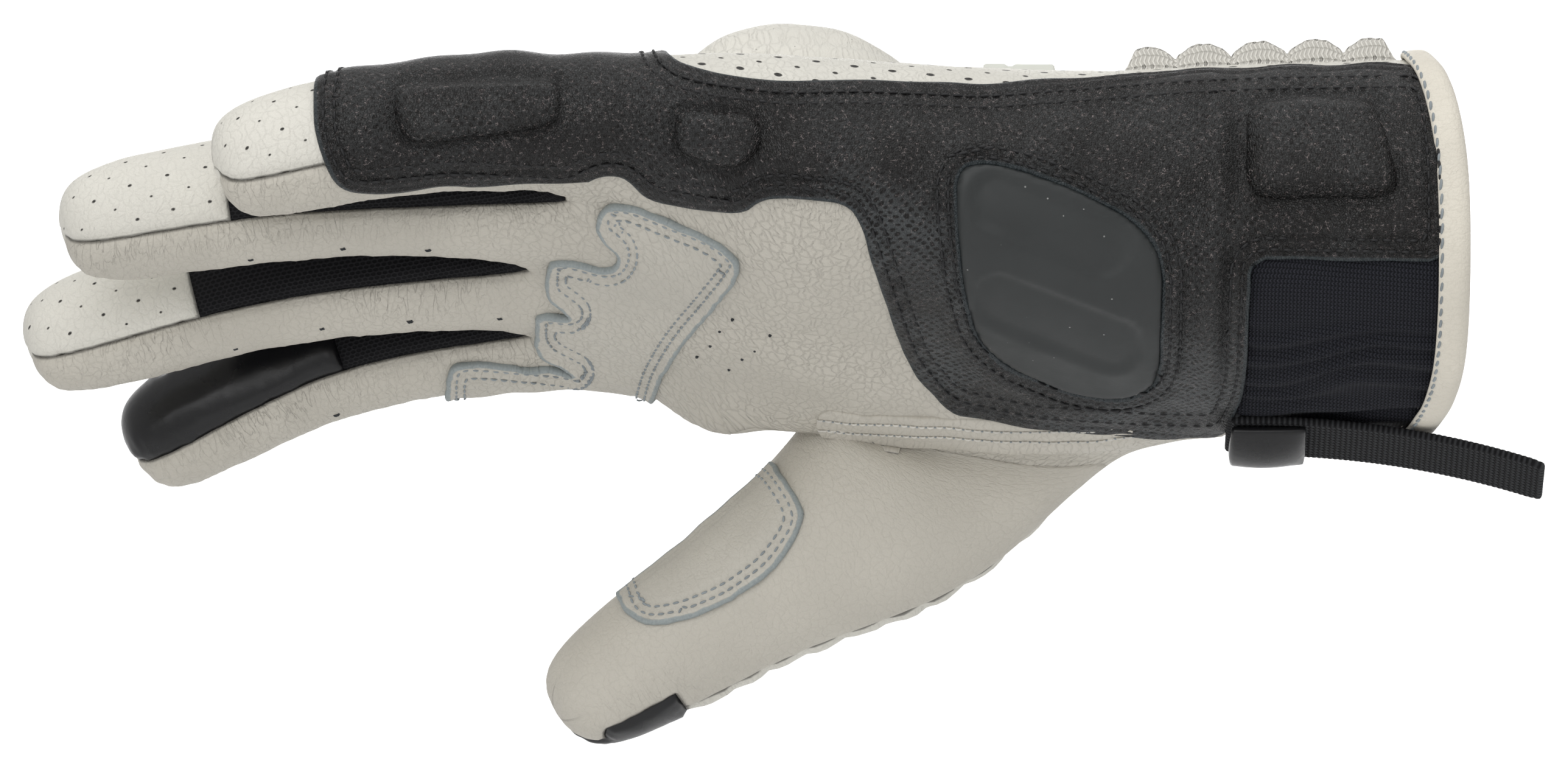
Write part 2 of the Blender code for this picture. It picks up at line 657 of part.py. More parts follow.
def build_edge_pieces(surface):
    """The black edge panel, its pads and the plate on the heel of the hand."""
    top = FIT_GAP + PANEL_WALL
    above = top + FIT_GAP
    sewn_layer(surface, "edge_panel", BLACK_LEATHER, on_little_edge, FIT_GAP, top, EDGE_PANEL_OUTLINE)
    pads = (
        ("finger_pad_long", LONG_PAD_OUTLINE),
        ("finger_pad_short", SHORT_PAD_OUTLINE),
        ("cuff_pad", CUFF_PAD_OUTLINE),
    )
    for name, outline in pads:
        sewn_layer(surface, name, BLACK_LEATHER, on_near_side, above, above + PAD_RISE, outline)
    sewn_layer(surface, "edge_slider", GREY_PLATE, on_near_side, above, above + SLIDER_WALL, SLIDER_OUTLINE)


def build_patches(surface):
    """Reinforcement patches on the palm and round the thumb's web."""
    top = FIT_GAP + PATCH_WALL
    sewn_layer(surface, "palm_patch", PATCH_LEATHER, on_palm_front, FIT_GAP, top, PALM_PATCH_OUTLINE)
    sewn_layer(surface, "thumb_patch", PATCH_LEATHER, on_thumb_front, FIT_GAP, top, THUMB_PATCH_OUTLINE)


def build_knuckle_guard(surface):
    """A padded dome over the knuckles: a grid laid on the back that rises as a rounded hump."""
    rows, columns = 10, 9
    length, breadth = 0.205 * GLOVE_REACH, 0.52 * PALM_BREADTH
    middle_along, middle_across = -0.462 * GLOVE_REACH, 0.03 * PALM_BREADTH
    u = np.linspace(-1.0, 1.0, rows)
    v = np.linspace(-1.0, 1.0, columns)
    alongs = middle_along + 0.5 * length * u
    narrowing = (1.0 - 0.55 * np.abs(u) ** 3)[:, None]
    acrosses = middle_across + 0.5 * breadth * v[None, :] * narrowing
    points, normals = laid_grid(surface, alongs, acrosses, SECTIONS[2].roll)
    lean = np.where(u < -0.1, (u + 0.1) / 0.9, (u + 0.1) / 1.1)
    dome = np.cos(0.5 * np.pi * lean)[:, None] * np.clip(1.0 - (v ** 4)[None, :], 0.0, 1.0)
    rise = FIT_GAP + PANEL_WALL + KNUCKLE_RISE * np.clip(dome, 0.0, 1.0) ** 0.75
    upper = points + normals * rise[..., None]
    lower = points + normals * FIT_GAP
    make_object("knuckle_guard", *grid_solid(upper, lower), BACK_LEATHER)


def build_wrist_ribs(surface):
    """A stretch panel on the top of the cuff, in ribs that run across it."""
    rows, columns = 4 * RIB_COUNT + 1, 7
    u = np.linspace(0.0, 1.0, rows)
    alongs = -GLOVE_REACH * (0.232 - 0.189 * u)
    acrosses = np.linspace(-0.235, 0.33, columns) * CUFF_BREADTH
    points, normals = laid_grid(surface, alongs, acrosses, SECTIONS[-1].roll)
    bulge = np.abs(np.sin(np.pi * RIB_COUNT * u)) * RIB_RISE
    rise = FIT_GAP + RIB_WALL + bulge[:, None] * np.ones(columns)
    upper = points + normals * rise[..., None]
    lower = points + normals * FIT_GAP
    make_object("wrist_ribs", *grid_solid(upper, lower), KNIT_WHITE)


def build_back_tab(surface):
    """A small flat rubber tab on the back, between the knuckles and the cuff."""
    middle_along, middle_across = -0.304 * GLOVE_REACH, -0.20 * PALM_BREADTH
    alongs = middle_along + BACK_TAB_LENGTH * np.linspace(-0.5, 0.5, 3)
    acrosses = middle_across + BACK_TAB_WIDTH * np.linspace(-0.5, 0.5, 3)
    points, normals = laid_grid(surface, alongs, acrosses, SECTIONS[4].roll)
    upper = points + normals * (FIT_GAP + BACK_TAB_WALL)
    lower = points + normals * FIT_GAP
    make_object("back_tab", *grid_solid(upper, lower), WHITE_RUBBER)


def rim_order(surface):
    """Numbers of the points round the wrist opening, in order of their angle."""
    across, back = roll_frame(SECTIONS[-1].roll)
    sides = np.vstack([surface.triangles[:, [0, 1]], surface.triangles[:, [1, 2]], surface.triangles[:, [2, 0]]])
    pairs, uses = np.unique(np.sort(sides, axis=1), axis=0, return_counts=True)
    rim = np.unique(pairs[uses == 1])
    angles = np.arctan2(surface.points[rim] @ back, surface.points[rim] @ across)
    return rim[np.argsort(angles)]


def cuff_direction(surface, number, rim):
    """The direction along the cuff from one point of its rim, away from the opening."""
    touching = surface.triangles[np.any(surface.triangles == number, axis=1)]
    others = np.setdiff1d(touching, rim)
    sideways = np.linalg.norm((surface.points[others] - surface.points[number])[:, 1:], axis=1)
    return unit(surface.points[others[np.argmin(sideways)]] - surface.points[number])


def build_binding(surface):
    """Leather folded round the edge of the wrist opening: a hooked profile carried round the rim."""
    rim = rim_order(surface)
    end = -0.62 * BINDING_WIDTH
    front = 0.36 * BINDING_WIDTH
    inner = -LEATHER_WALL - FIT_GAP
    profile = (
        (end, FIT_GAP), (end, FIT_GAP + PANEL_WALL), (0.5 * front, FIT_GAP + PANEL_WALL),
        (front, 0.5 * inner), (0.5 * front, inner - PANEL_WALL), (end, inner - PANEL_WALL),
        (end, inner), (FIT_GAP, inner), (FIT_GAP, FIT_GAP),
    )
    points = []
    for number in rim:
        place, normal = surface.points[number], surface.normals[number]
        inland = cuff_direction(surface, number, rim)
        for along, offset in profile:
            step = inland * -along if along < 0.0 else np.array([along, 0.0, 0.0])
            points.append(place + normal * offset + step)
    around, count = len(rim), len(profile)
    faces = []
    for number in range(around):
        following = (number + 1) % around
        for corner in range(count):
            after = (corner + 1) % count
            faces.append((number * count + corner, following * count + corner,
                          following * count + after, number * count + after))
    make_object("cuff_binding", points, faces, BINDING_LEATHER)


def cuff_bottom(surface, along, side):
    """Height of the cuff's underside at one place."""
    start = Vector((along, side, -PALM_BREADTH))
    hit, _, _, _ = surface.tree.ray_cast(start, Vector((0.0, 0.0, 1.0)))
    return hit.z


def build_strap(surface):
    """The webbing strap tail under the cuff and the black tab that it comes out of."""
    steps = 12
    side = 0.02 * CUFF_BREADTH
    tilt = np.radians(23.0)
    start = -0.155 * GLOVE_REACH
    share = np.linspace(0.0, 1.0, steps)
    along = start + STRAP_LENGTH * share * 0.955
    level = cuff_bottom(surface, -0.08 * GLOVE_REACH, side) - 2.9 * FIT_GAP
    height = level - 0.14 * STRAP_LENGTH * share ** 2.2
    width_axis = np.array([0.0, np.cos(tilt), -np.sin(tilt)])
    top_axis = np.array([0.0, np.sin(tilt), np.cos(tilt)])
    upper = np.zeros((steps, 2, 3))
    lower = np.zeros((steps, 2, 3))
    for number in range(steps):
        centre = np.array([along[number], side, height[number]])
        for edge, sign in enumerate((-1.0, 1.0)):
            corner = centre + width_axis * 0.5 * STRAP_WIDTH * sign
            upper[number, edge] = corner
            lower[number, edge] = corner - top_axis * STRAP_WALL
    make_object("closure_strap", *grid_solid(upper, lower), BLACK_WEBBING)
    build_strap_tab(start, side, level, width_axis, top_axis)


def build_strap_tab(start, side, level, width_axis, top_axis):
    """A rounded black tab under the root of the strap."""
    shares = np.linspace(0.0, 1.0, 7)
    upper = np.zeros((7, 5, 3))
    lower = np.zeros((7, 5, 3))
    for row, share in enumerate(shares):
        depth = TAB_BULGE * np.sqrt(max(1.0 - ((share - 0.42) / 0.60) ** 2, 0.0))
        for column, across_share in enumerate(np.linspace(-0.5, 0.5, 5)):
            centre = np.array([start + TAB_LENGTH * share, side, level])
            point = centre + width_axis * STRAP_WIDTH * across_share - top_axis * (STRAP_WALL + FIT_GAP)
            upper[row, column] = point
            lower[row, column] = point - top_axis * (TAB_EDGE + depth * (1.0 - 2.4 * across_share ** 2))
    make_object("strap_tab", *grid_solid(upper, lower), TOUCH_LEATHER)


def main():
    """Build every piece of the glove."""
    clear_scene()
    cage = Cage()
    rows = build_palm(cage)
    build_fingers(cage, rows)
    build_thumb(cage, rows)
    surface = HandSurface(cage)
    build_skins(surface)
    build_edge_pieces(surface)
    build_patches(surface)
    build_knuckle_guard(surface)
    build_wrist_ribs(surface)
    build_back_tab(surface)
    build_binding(surface)
    build_strap(surface)


main()
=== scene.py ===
"""Looks of a short-cuff motorcycle glove in off-white goat leather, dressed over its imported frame.

The hand's surface is worked out from the same control cage as the frame's solids and subdivided finely.
Every skin is a wall over its own share of that surface. Panels, patches and pads are further layers that
are cut to an outline, and threads follow lines of even distance from the edges.
"""

import logging
from dataclasses import dataclass, field
from enum import Enum
from typing import ClassVar, Sequence

import bpy
import numpy as np
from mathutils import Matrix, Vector


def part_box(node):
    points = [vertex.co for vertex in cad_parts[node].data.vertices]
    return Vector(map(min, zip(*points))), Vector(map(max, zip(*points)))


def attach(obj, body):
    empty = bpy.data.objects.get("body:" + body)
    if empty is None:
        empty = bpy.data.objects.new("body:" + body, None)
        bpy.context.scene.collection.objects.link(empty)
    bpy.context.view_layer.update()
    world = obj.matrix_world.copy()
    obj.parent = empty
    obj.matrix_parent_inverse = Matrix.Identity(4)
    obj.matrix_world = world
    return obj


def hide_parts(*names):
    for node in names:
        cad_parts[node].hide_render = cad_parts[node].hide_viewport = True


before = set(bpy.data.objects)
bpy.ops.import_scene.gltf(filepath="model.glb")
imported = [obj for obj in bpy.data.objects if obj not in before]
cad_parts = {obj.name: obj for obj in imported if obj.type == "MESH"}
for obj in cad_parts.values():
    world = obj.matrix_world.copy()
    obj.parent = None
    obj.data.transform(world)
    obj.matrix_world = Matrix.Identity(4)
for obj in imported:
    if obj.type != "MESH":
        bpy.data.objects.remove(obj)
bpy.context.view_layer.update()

MM = 0.001
BODY = "root"
Array = np.ndarray
Socket = bpy.types.NodeSocket
Drive = Socket | float | Sequence[float]
log = logging.getLogger("glove")


# The hand's form

@dataclass(frozen=True)
class Section:
    """One section of the hand: places and sizes as shares of the driving sizes."""

    place: float
    arc: float
    roll: float
    lift: float
    breadth: float
    back: float
    palm: float
    thenar: float
    dip: float
    square: float


@dataclass(frozen=True)
class Finger:
    """A finger's length and width, its pitch at three bones and its splay in degrees."""

    name: str
    length: float
    width: float
    pitches: tuple[float, float, float]
    splay: float


@dataclass(frozen=True)
class Ring:
    """A ring of a finger's cage: share of the length, and shares of the width and the depth."""

    share: float
    width: float
    depth: float


class Region(Enum):
    """The three tubes that the hand's cage is made of."""

    PALM = 0
    FINGER = 1
    THUMB = 2


@dataclass(frozen=True)
class HandSizes:
    """Driving sizes of the glove on a relaxed hand, in metres."""

    reach: float = 245 * MM
    cuff_depth: float = 61 * MM
    palm_breadth: float = 90 * MM
    cuff_breadth: float = 80 * MM
    palm_thickness: float = 48 * MM
    cuff_thickness: float = 56 * MM
    knuckle_arc: float = 17 * MM
    opening_dip: float = 4.5 * MM
    finger_depth: float = 22.5 * MM
    thumb_width: float = 24.5 * MM
    thumb_depth: float = 24 * MM
    web_reach: float = 10 * MM
    web_drop: float = 11.5 * MM
    thumb_ball_drop: float = 3.5 * MM
    cage_swell: float = 1.035
    finger_swell: float = 1.10


SECTIONS = (
    Section(0.569, 1.00, 28, 0.066, 1.03, 0.54, 0.49, 0.00, 0.24, 3.0),
    Section(0.518, 0.70, 27, 0.060, 1.03, 0.70, 0.59, 0.00, 0.10, 2.9),
    Section(0.465, 0.30, 25, 0.033, 1.02, 0.86, 0.74, 0.05, 0.03, 2.8),
    Section(0.392, 0.00, 23, 0.000, 1.00, 0.99, 0.83, 0.28, 0.00, 2.6),
    Section(0.314, 0.00, 22, -0.016, 0.98, 1.03, 0.90, 0.34, 0.00, 2.5),
    Section(0.233, 0.00, 21, -0.016, 0.93, 1.07, 1.02, 0.20, 0.00, 2.4),
    Section(0.168, 0.00, 20, 0.000, 0.88, 1.12, 1.12, 0.03, 0.00, 2.4),
    Section(0.004, 0.00, 20, 0.000, 0.89, 1.16, 1.16, 0.00, 0.00, 2.4),
)
COLUMNS = np.array((-0.90, -0.74, -0.50, -0.25, 0.0, 0.25, 0.50, 0.74, 0.90))
AROUND = 20
HOLE_ROWS = (2, 5)
CUFF_ROW = 5
GUSSET_ROW = 6
FINGERS = (
    Finger("little", 68 * MM, 20 * MM, (0.0, 8.0, 16.0), -4.0),
    Finger("ring", 86 * MM, 21.5 * MM, (0.0, 6.0, 12.0), -1.0),
    Finger("middle", 91 * MM, 22 * MM, (3.5, 13.0, 18.0), 1.5),
    Finger("index", 79.5 * MM, 22 * MM, (5.0, 22.5, 31.0), 4.0),
)
THUMB = Finger("thumb", 71.5 * MM, 24.5 * MM, (32.0, 32.0, 35.0), 1.0)
FINGER_RINGS = (Ring(0.26, 1.00, 1.00), Ring(0.48, 0.98, 0.98), Ring(0.64, 0.96, 0.96),
                Ring(0.84, 0.94, 0.94), Ring(0.965, 0.76, 0.76))
THUMB_RINGS = (Ring(-0.06, 1.86, 1.42), Ring(0.34, 1.12, 1.14),
               Ring(0.74, 0.96, 1.00), Ring(0.94, 0.74, 0.76))
FOURCHETTE_ROWS = 3
INDEX_MESH_ROWS = 2


def roll_frame(degrees: float) -> tuple[Array, Array]:
    """The directions across the hand, towards the index finger, and out of its back."""
    roll = np.radians(degrees)
    return np.array([0.0, np.cos(roll), -np.sin(roll)]), np.array([0.0, np.sin(roll), np.cos(roll)])


def unit(vectors: Array) -> Array:
    """The vectors at length one."""
    return vectors / np.maximum(np.linalg.norm(vectors, axis=-1, keepdims=True), 1e-12)


def smooth_step(values: Array, low: float, high: float) -> Array:
    """Rises smoothly from 0 at low to 1 at high."""
    share = np.clip((values - low) / (high - low), 0.0, 1.0)
    return share * share * (3.0 - 2.0 * share)


def bell(values: Array, middle: float, width: float) -> Array:
    """One at the middle, falling off on both sides as a bell curve."""
    return np.exp(-((values - middle) / width) ** 2)


def rows_at(table: Array, travel: Array, places: Array) -> Array:
    """The table's rows at places along a path whose points lie at travel."""
    return np.stack([np.interp(places, travel, table[:, axis]) for axis in range(3)], axis=-1)


def ripples(points: Array, wave: float, seed: int, stretch: Sequence[float] = (1.0, 1.0, 1.0)) -> Array:
    """Soft irregular bumps about zero: a sum of sine waves in fixed random directions.

    Args:
        points: places as rows.
        wave: length of the waves in metres.
        seed: picks the directions and phases.
        stretch: how much shorter the waves are along each axis.

    Returns:
        One value about -1 to 1 for each point.
    """
    draw = np.random.default_rng(seed)
    directions = unit(draw.normal(size=(14, points.shape[1]))) * np.array(stretch)[: points.shape[1]]
    lengths = wave * draw.uniform(0.7, 1.5, 14)
    phases = draw.uniform(0.0, 2.0 * np.pi, 14)
    waves = np.sin(2.0 * np.pi * (points @ directions.T) / lengths + phases)
    return waves.sum(axis=1) / np.sqrt(14.0)


class HandForm:
    """Control cage of the hand, with the piece, zone and flat layout of each of its faces."""

    def __init__(self, sizes: HandSizes) -> None:
        """Build the palm tube, the four fingers and the thumb."""
        self.sizes = sizes
        self.points: list[Array] = []
        self.faces: list[tuple[int, ...]] = []
        self.piece_of: list[str] = []
        self.zones: list[tuple[int, int, int, int]] = []
        self.lays: list[Array] = []
        self.edge_lays: list[Array] = []
        self._add_palm()
        self._add_fingers()
        self._add_thumb()

    def _section(self, section: Section) -> Array:
        """The twenty cage points round one section: a squared-off ellipse, flatter on the palm."""
        sizes = self.sizes
        across, back = roll_frame(section.roll)
        near_cuff = np.clip((0.40 - section.place) / 0.25, 0.0, 1.0)
        breadth = (1.0 - near_cuff) * sizes.palm_breadth + near_cuff * sizes.cuff_breadth * 1.125
        thickness = (1.0 - near_cuff) * sizes.palm_thickness + near_cuff * sizes.cuff_thickness * 0.857
        half_breadth, half_back, half_palm = (0.5 * sizes.cage_swell * length for length in (
            breadth * section.breadth, thickness * section.back, thickness * section.palm))
        fall = (1.0 - np.abs(COLUMNS) ** section.square) ** (1.0 / section.square)
        fall[[2, 4, 6]] *= 1.0 - section.dip
        swell = 1.0 + section.thenar * np.exp(-((COLUMNS - 0.55) / 0.45) ** 2)
        share = np.concatenate([COLUMNS, [1.0], COLUMNS[::-1], [-1.0]])
        height = np.concatenate([half_back * fall, [0.0], (-half_palm * fall * swell)[::-1], [0.0]])
        along = -section.place * sizes.reach
        along = along - section.arc * sizes.knuckle_arc * (1.0 - ((share - 0.25) / 1.15) ** 2)
        points = across * (share * half_breadth)[:, None] + back * height[:, None]
        if section.place < 0.05:
            along = along - sizes.opening_dip * (2.0 * np.abs(points[:, 2]) / sizes.cuff_depth) ** 6
        points[:, 0] = along
        points[:, 2] += section.lift * sizes.cuff_depth
        return points

    def _add_points(self, points: Array) -> list[int]:
        """Store points and give back their numbers."""
        first = len(self.points)
        self.points.extend(np.atleast_2d(points))
        return list(range(first, len(self.points)))

    def _add_face(self, face: Sequence[int], piece: str, zone: tuple[int, int, int, int],
                  lay: Sequence[tuple[float, float]], edge_lay: Sequence[tuple[float, float]]) -> None:
        """Store one face with its piece, its zone and its corners' places on the flat leather."""
        self.faces.append(tuple(face))
        self.piece_of.append(piece)
        self.zones.append(zone)
        self.lays.append(np.array(lay))
        self.edge_lays.append(np.array(edge_lay))

    def _add_palm(self) -> None:
        """The tube round the palm and the wrist, with a hole for the thumb."""
        sizes = self.sizes
        self.rows = [self._add_points(self._section(section)) for section in SECTIONS]
        for column, share in ((9, 0.8), (10, 1.0), (11, 0.5)):
            self.points[self.rows[HOLE_ROWS[0]][column]] += share * np.array(
                [-sizes.web_reach, 0.0, -sizes.web_drop])
            drop = np.array([0.0, 0.0, -share * sizes.thumb_ball_drop])
            self.points[self.rows[HOLE_ROWS[1]][column]] += drop
        self.turns = []
        self.girths = []
        for row in self.rows:
            ring = np.array([self.points[index] for index in row])
            steps = np.linalg.norm(np.roll(ring, -1, axis=0) - ring, axis=1)
            place = np.concatenate([[0.0], np.cumsum(steps)])
            self.turns.append(place[:-1] - place[4])
            self.girths.append(place[-1])
        for row in range(len(self.rows) - 1):
            for column in range(AROUND):
                if HOLE_ROWS[0] <= row < HOLE_ROWS[1] and column in (8, 9, 10):
                    continue
                self._add_palm_face(row, column)

    def _add_palm_face(self, row: int, column: int) -> None:
        """One face of the palm's tube."""
        following = (column + 1) % AROUND
        corners = ((row, column), (row + 1, column), (row + 1, following), (row, following))
        on_palm = 10 <= column <= 17
        if on_palm:
            piece = "cuff_gusset" if row >= GUSSET_ROW else "palm_leather"
        else:
            piece = "cuff_back" if row >= CUFF_ROW else "back_leather"
        lay, edge_lay = [], []
        for at_row, at_column in corners:
            along = -self.points[self.rows[at_row][at_column]][0]
            turn = self.turns[at_row][at_column]
            whole = self.girths[at_row]
            lay.append((along, turn - whole if column >= 18 and at_column >= 18 else turn))
            edge_lay.append((along, turn + whole if at_column <= 5 else turn))
        face = [self.rows[at_row][at_column] for at_row, at_column in corners]
        self._add_face(face, piece, (Region.PALM.value, 0, row, column), lay, edge_lay)

    @staticmethod
    def bones(start: Array, finger: Finger, shares: Sequence[float]) -> tuple[list[Array], list[Array]]:
        """Points and directions along a finger whose pitch changes smoothly over its joints."""
        steps = np.linspace(-0.15, 1.15, 79)
        pitch = np.radians(np.interp(steps, (0.25, 0.55, 0.85), finger.pitches))
        turn = np.radians(finger.splay)
        heading = np.stack((-np.cos(pitch) * np.cos(turn), np.full_like(pitch, np.sin(turn)),
                            -np.sin(pitch)), 1)
        travel = np.cumsum(0.5 * (heading[1:] + heading[:-1]), 0) * (steps[1] - steps[0])
        travel = np.vstack((np.zeros(3), travel))
        travel = travel - rows_at(travel, steps, 0.0)
        return ([start + finger.length * rows_at(travel, steps, share) for share in shares],
                [rows_at(heading, steps, share) for share in shares])

    @staticmethod
    def finger_piece(number: int, row: int, side: int) -> str:
        """The piece that a finger's face belongs to; side counts the eight faces round a ring."""
        if side in (4, 5):
            return "palm_leather"
        if number == 3 and side in (6, 7) and row >= INDEX_MESH_ROWS:
            return "index_touch_tip"
        if number == 3 and side in (0, 1) and row > FOURCHETTE_ROWS:
            return "index_touch_tip"
        if side in (0, 1) or row >= FOURCHETTE_ROWS:
            return "back_leather"
        towards_index = side in (2, 3)
        if number == 0 and not towards_index or number == 3 and towards_index:
            return "back_leather"
        gap = number if towards_index else number - 1
        return ("fourchette_little_ring", "fourchette_ring_middle", "fourchette_middle_index")[gap]

    def _finger_turn(self, number: int, row: int, side: int, at: int, girth: float, for_edge: bool) -> float:
        """Place round a finger of one corner of a face, on the flat leather."""
        turns, whole = self.turns[0], self.girths[0]
        eighth = girth / 8.0
        if for_edge:
            if number == 0 and side in (0, 1):
                at += 8
            root = {5: turns[17], 6: turns[18], 7: turns[19], 8: turns[0] + whole, 9: turns[1] + whole}
            if number == 0 and row == 0 and at in root:
                return root[at]
            return turns[19] + (at - 7) * eighth
        if side in (4, 5):
            if row == 0:
                return turns[12 - 2 * number + at]
            return turns[17 - 2 * number] + (at - 5) * eighth
        if side in (6, 7):
            at = at - 8 if at >= 6 else at
        if row > 0:
            return turns[2 * number + 1] + (at - 1) * eighth
        if number == 0 and at < 0:
            return turns[20 + at] - whole
        if at < 0:
            return turns[2 * number] + at * eighth
        if at > 2 and number < 3:
            return turns[2 * number + 2] + (at - 2) * eighth
        return turns[2 * number + at]

    def _add_fingers(self) -> None:
        """Four tubes of eight-sided rings that start between shared points of the first section."""
        first = self.rows[0]
        webs = [self._add_points(0.5 * (self.points[first[2 * gap]] + self.points[first[18 - 2 * gap]]))[0]
                for gap in (1, 2, 3)]
        sides = [first[19]] + webs + [first[9]]
        for number, finger in enumerate(FINGERS):
            near = 2 * number
            ring = [first[near], first[near + 1], first[near + 2], sides[number + 1],
                    first[16 - near], first[17 - near], first[18 - near], sides[number]]
            self._add_finger(number, finger, ring)

    def _add_finger(self, number: int, finger: Finger, ring: list[int]) -> None:
        """One finger's tube, closed at the tip by four faces."""
        sizes = self.sizes
        across, back = roll_frame(SECTIONS[0].roll)
        start = np.mean([self.points[index] for index in ring], axis=0)
        shares = [item.share for item in FINGER_RINGS] + [1.0]
        centres, headings = self.bones(start, finger, shares)
        rings = [ring]
        girths = [1.7 * (finger.width + sizes.finger_depth)]
        for item, centre, heading in zip(FINGER_RINGS, centres, headings):
            side = unit(across - heading * np.dot(across, heading))
            top = unit(np.cross(side, heading))
            top = -top if np.dot(top, back) < 0.0 else top
            half_width = 0.5 * finger.width * item.width * sizes.finger_swell
            half_depth = 0.5 * sizes.finger_depth * item.depth * sizes.finger_swell
            angles = np.radians(np.arange(8) * 45.0 - 45.0)[:, None]
            rings.append(self._add_points(
                centre + side * half_width * np.sin(angles) + top * half_depth * np.cos(angles)))
            girths.append(np.pi * (half_width + half_depth))
        tip = self._add_points(centres[-1])[0]
        reach = [-start[0] + finger.length * share for share in [0.0] + shares]

        def place(row: int, side: int, at: int, for_edge: bool) -> tuple[float, float]:
            """Where a corner lies on the flat leather."""
            along = reach[row] if row > 0 else -self.points[ring[at % 8]][0]
            girth = girths[min(row, len(FINGER_RINGS))]
            return along, self._finger_turn(number, row, side, at, girth, for_edge)

        for row in range(len(rings) - 1):
            for side in range(8):
                face = (rings[row][side], rings[row][(side + 1) % 8],
                        rings[row + 1][(side + 1) % 8], rings[row + 1][side])
                corners = ((row, side), (row, side + 1), (row + 1, side + 1), (row + 1, side))
                self._add_face(face, self.finger_piece(number, row, side),
                               (Region.FINGER.value, number, row, side),
                               [place(r, side, s, False) for r, s in corners],
                               [place(r, side, s, True) for r, s in corners])
        last = len(rings) - 1
        for side in (0, 2, 4, 6):
            face = (rings[last][side], rings[last][side + 1], rings[last][(side + 2) % 8], tip)
            corners = ((last, side), (last, side + 1), (last, side + 2), (last + 1, side + 1))
            self._add_face(face, self.finger_piece(number, last, side),
                           (Region.FINGER.value, number, last, side),
                           [place(r, side, s, False) for r, s in corners],
                           [place(r, side, s, True) for r, s in corners])

    @staticmethod
    def thumb_piece(row: int, side: int) -> str:
        """The piece that a thumb's face belongs to; side counts twelve faces from the web side."""
        if row >= len(THUMB_RINGS) - 1 and side in (3, 4, 5):
            return "thumb_touch_tip"
        if 4 <= side <= 8:
            return "thumb_back"
        return "thumb_leather"

    def _add_thumb(self) -> None:
        """A tube of twelve-sided rings from the hole in the palm's side to the thumb's tip."""
        sizes = self.sizes
        low, high = HOLE_ROWS
        rows = self.rows
        ring = [rows[row][11] for row in range(low, high)]
        ring += [rows[high][column] for column in (11, 10, 9)]
        ring += [rows[row][8] for row in range(high, low, -1)]
        ring += [rows[low][column] for column in (8, 9, 10)]
        centre = np.mean([self.points[index] for index in ring], axis=0)
        shares = [item.share for item in THUMB_RINGS] + [1.0]
        start = centre + np.array([-0.022 * sizes.reach, -0.02 * sizes.palm_breadth,
                                   -0.34 * sizes.cuff_depth])
        centres, headings = self.bones(start, THUMB, shares)
        rings = [ring]
        widest = THUMB_RINGS[0]
        girths = [np.pi * 0.5 * sizes.thumb_width * (widest.width + widest.depth)]
        for item, middle, heading in zip(THUMB_RINGS, centres, headings):
            near = unit(np.array([0.0, -1.0, 0.0]) + heading * heading[1])
            web = unit(np.cross(heading, near))
            web = -web if web[2] < 0.0 else web
            half_width = 0.5 * sizes.thumb_width * item.width * sizes.cage_swell
            half_depth = 0.5 * sizes.thumb_depth * item.depth * sizes.cage_swell
            angles = np.radians(45.0 + 30.0 * np.arange(12))[:, None]
            rings.append(self._add_points(
                middle + web * half_width * np.cos(angles) + near * half_depth * np.sin(angles)))
            girths.append(np.pi * (half_width + half_depth))
        tip = self._add_points(centres[-1])[0]
        reach = [-0.32 * THUMB.length] + [THUMB.length * share for share in shares]

        def place(row: int, side: int, at: int) -> tuple[float, float]:
            """Where a corner lies on the flat leather."""
            girth = girths[min(row, len(THUMB_RINGS))]
            return reach[row], (at - 12 if side >= 9 else at) * girth / 12.0

        last = len(rings) - 1
        for row in range(last):
            for side in range(12):
                following = (side + 1) % 12
                face = (rings[row][following], rings[row][side],
                        rings[row + 1][side], rings[row + 1][following])
                corners = ((row, side + 1), (row, side), (row + 1, side), (row + 1, side + 1))
                lay = [place(r, side, s) for r, s in corners]
                self._add_face(face, self.thumb_piece(row, side),
                               (Region.THUMB.value, 0, row, side), lay, lay)
        for side in range(0, 12, 2):
            face = (rings[last][(side + 2) % 12], rings[last][side + 1], rings[last][side], tip)
            corners = ((last, side + 2), (last, side + 1), (last, side), (last + 1, side + 1))
            lay = [place(r, side, s) for r, s in corners]
            self._add_face(face, self.thumb_piece(last, side), (Region.THUMB.value, 0, last, side), lay, lay)


# Sheets of leather as arrays

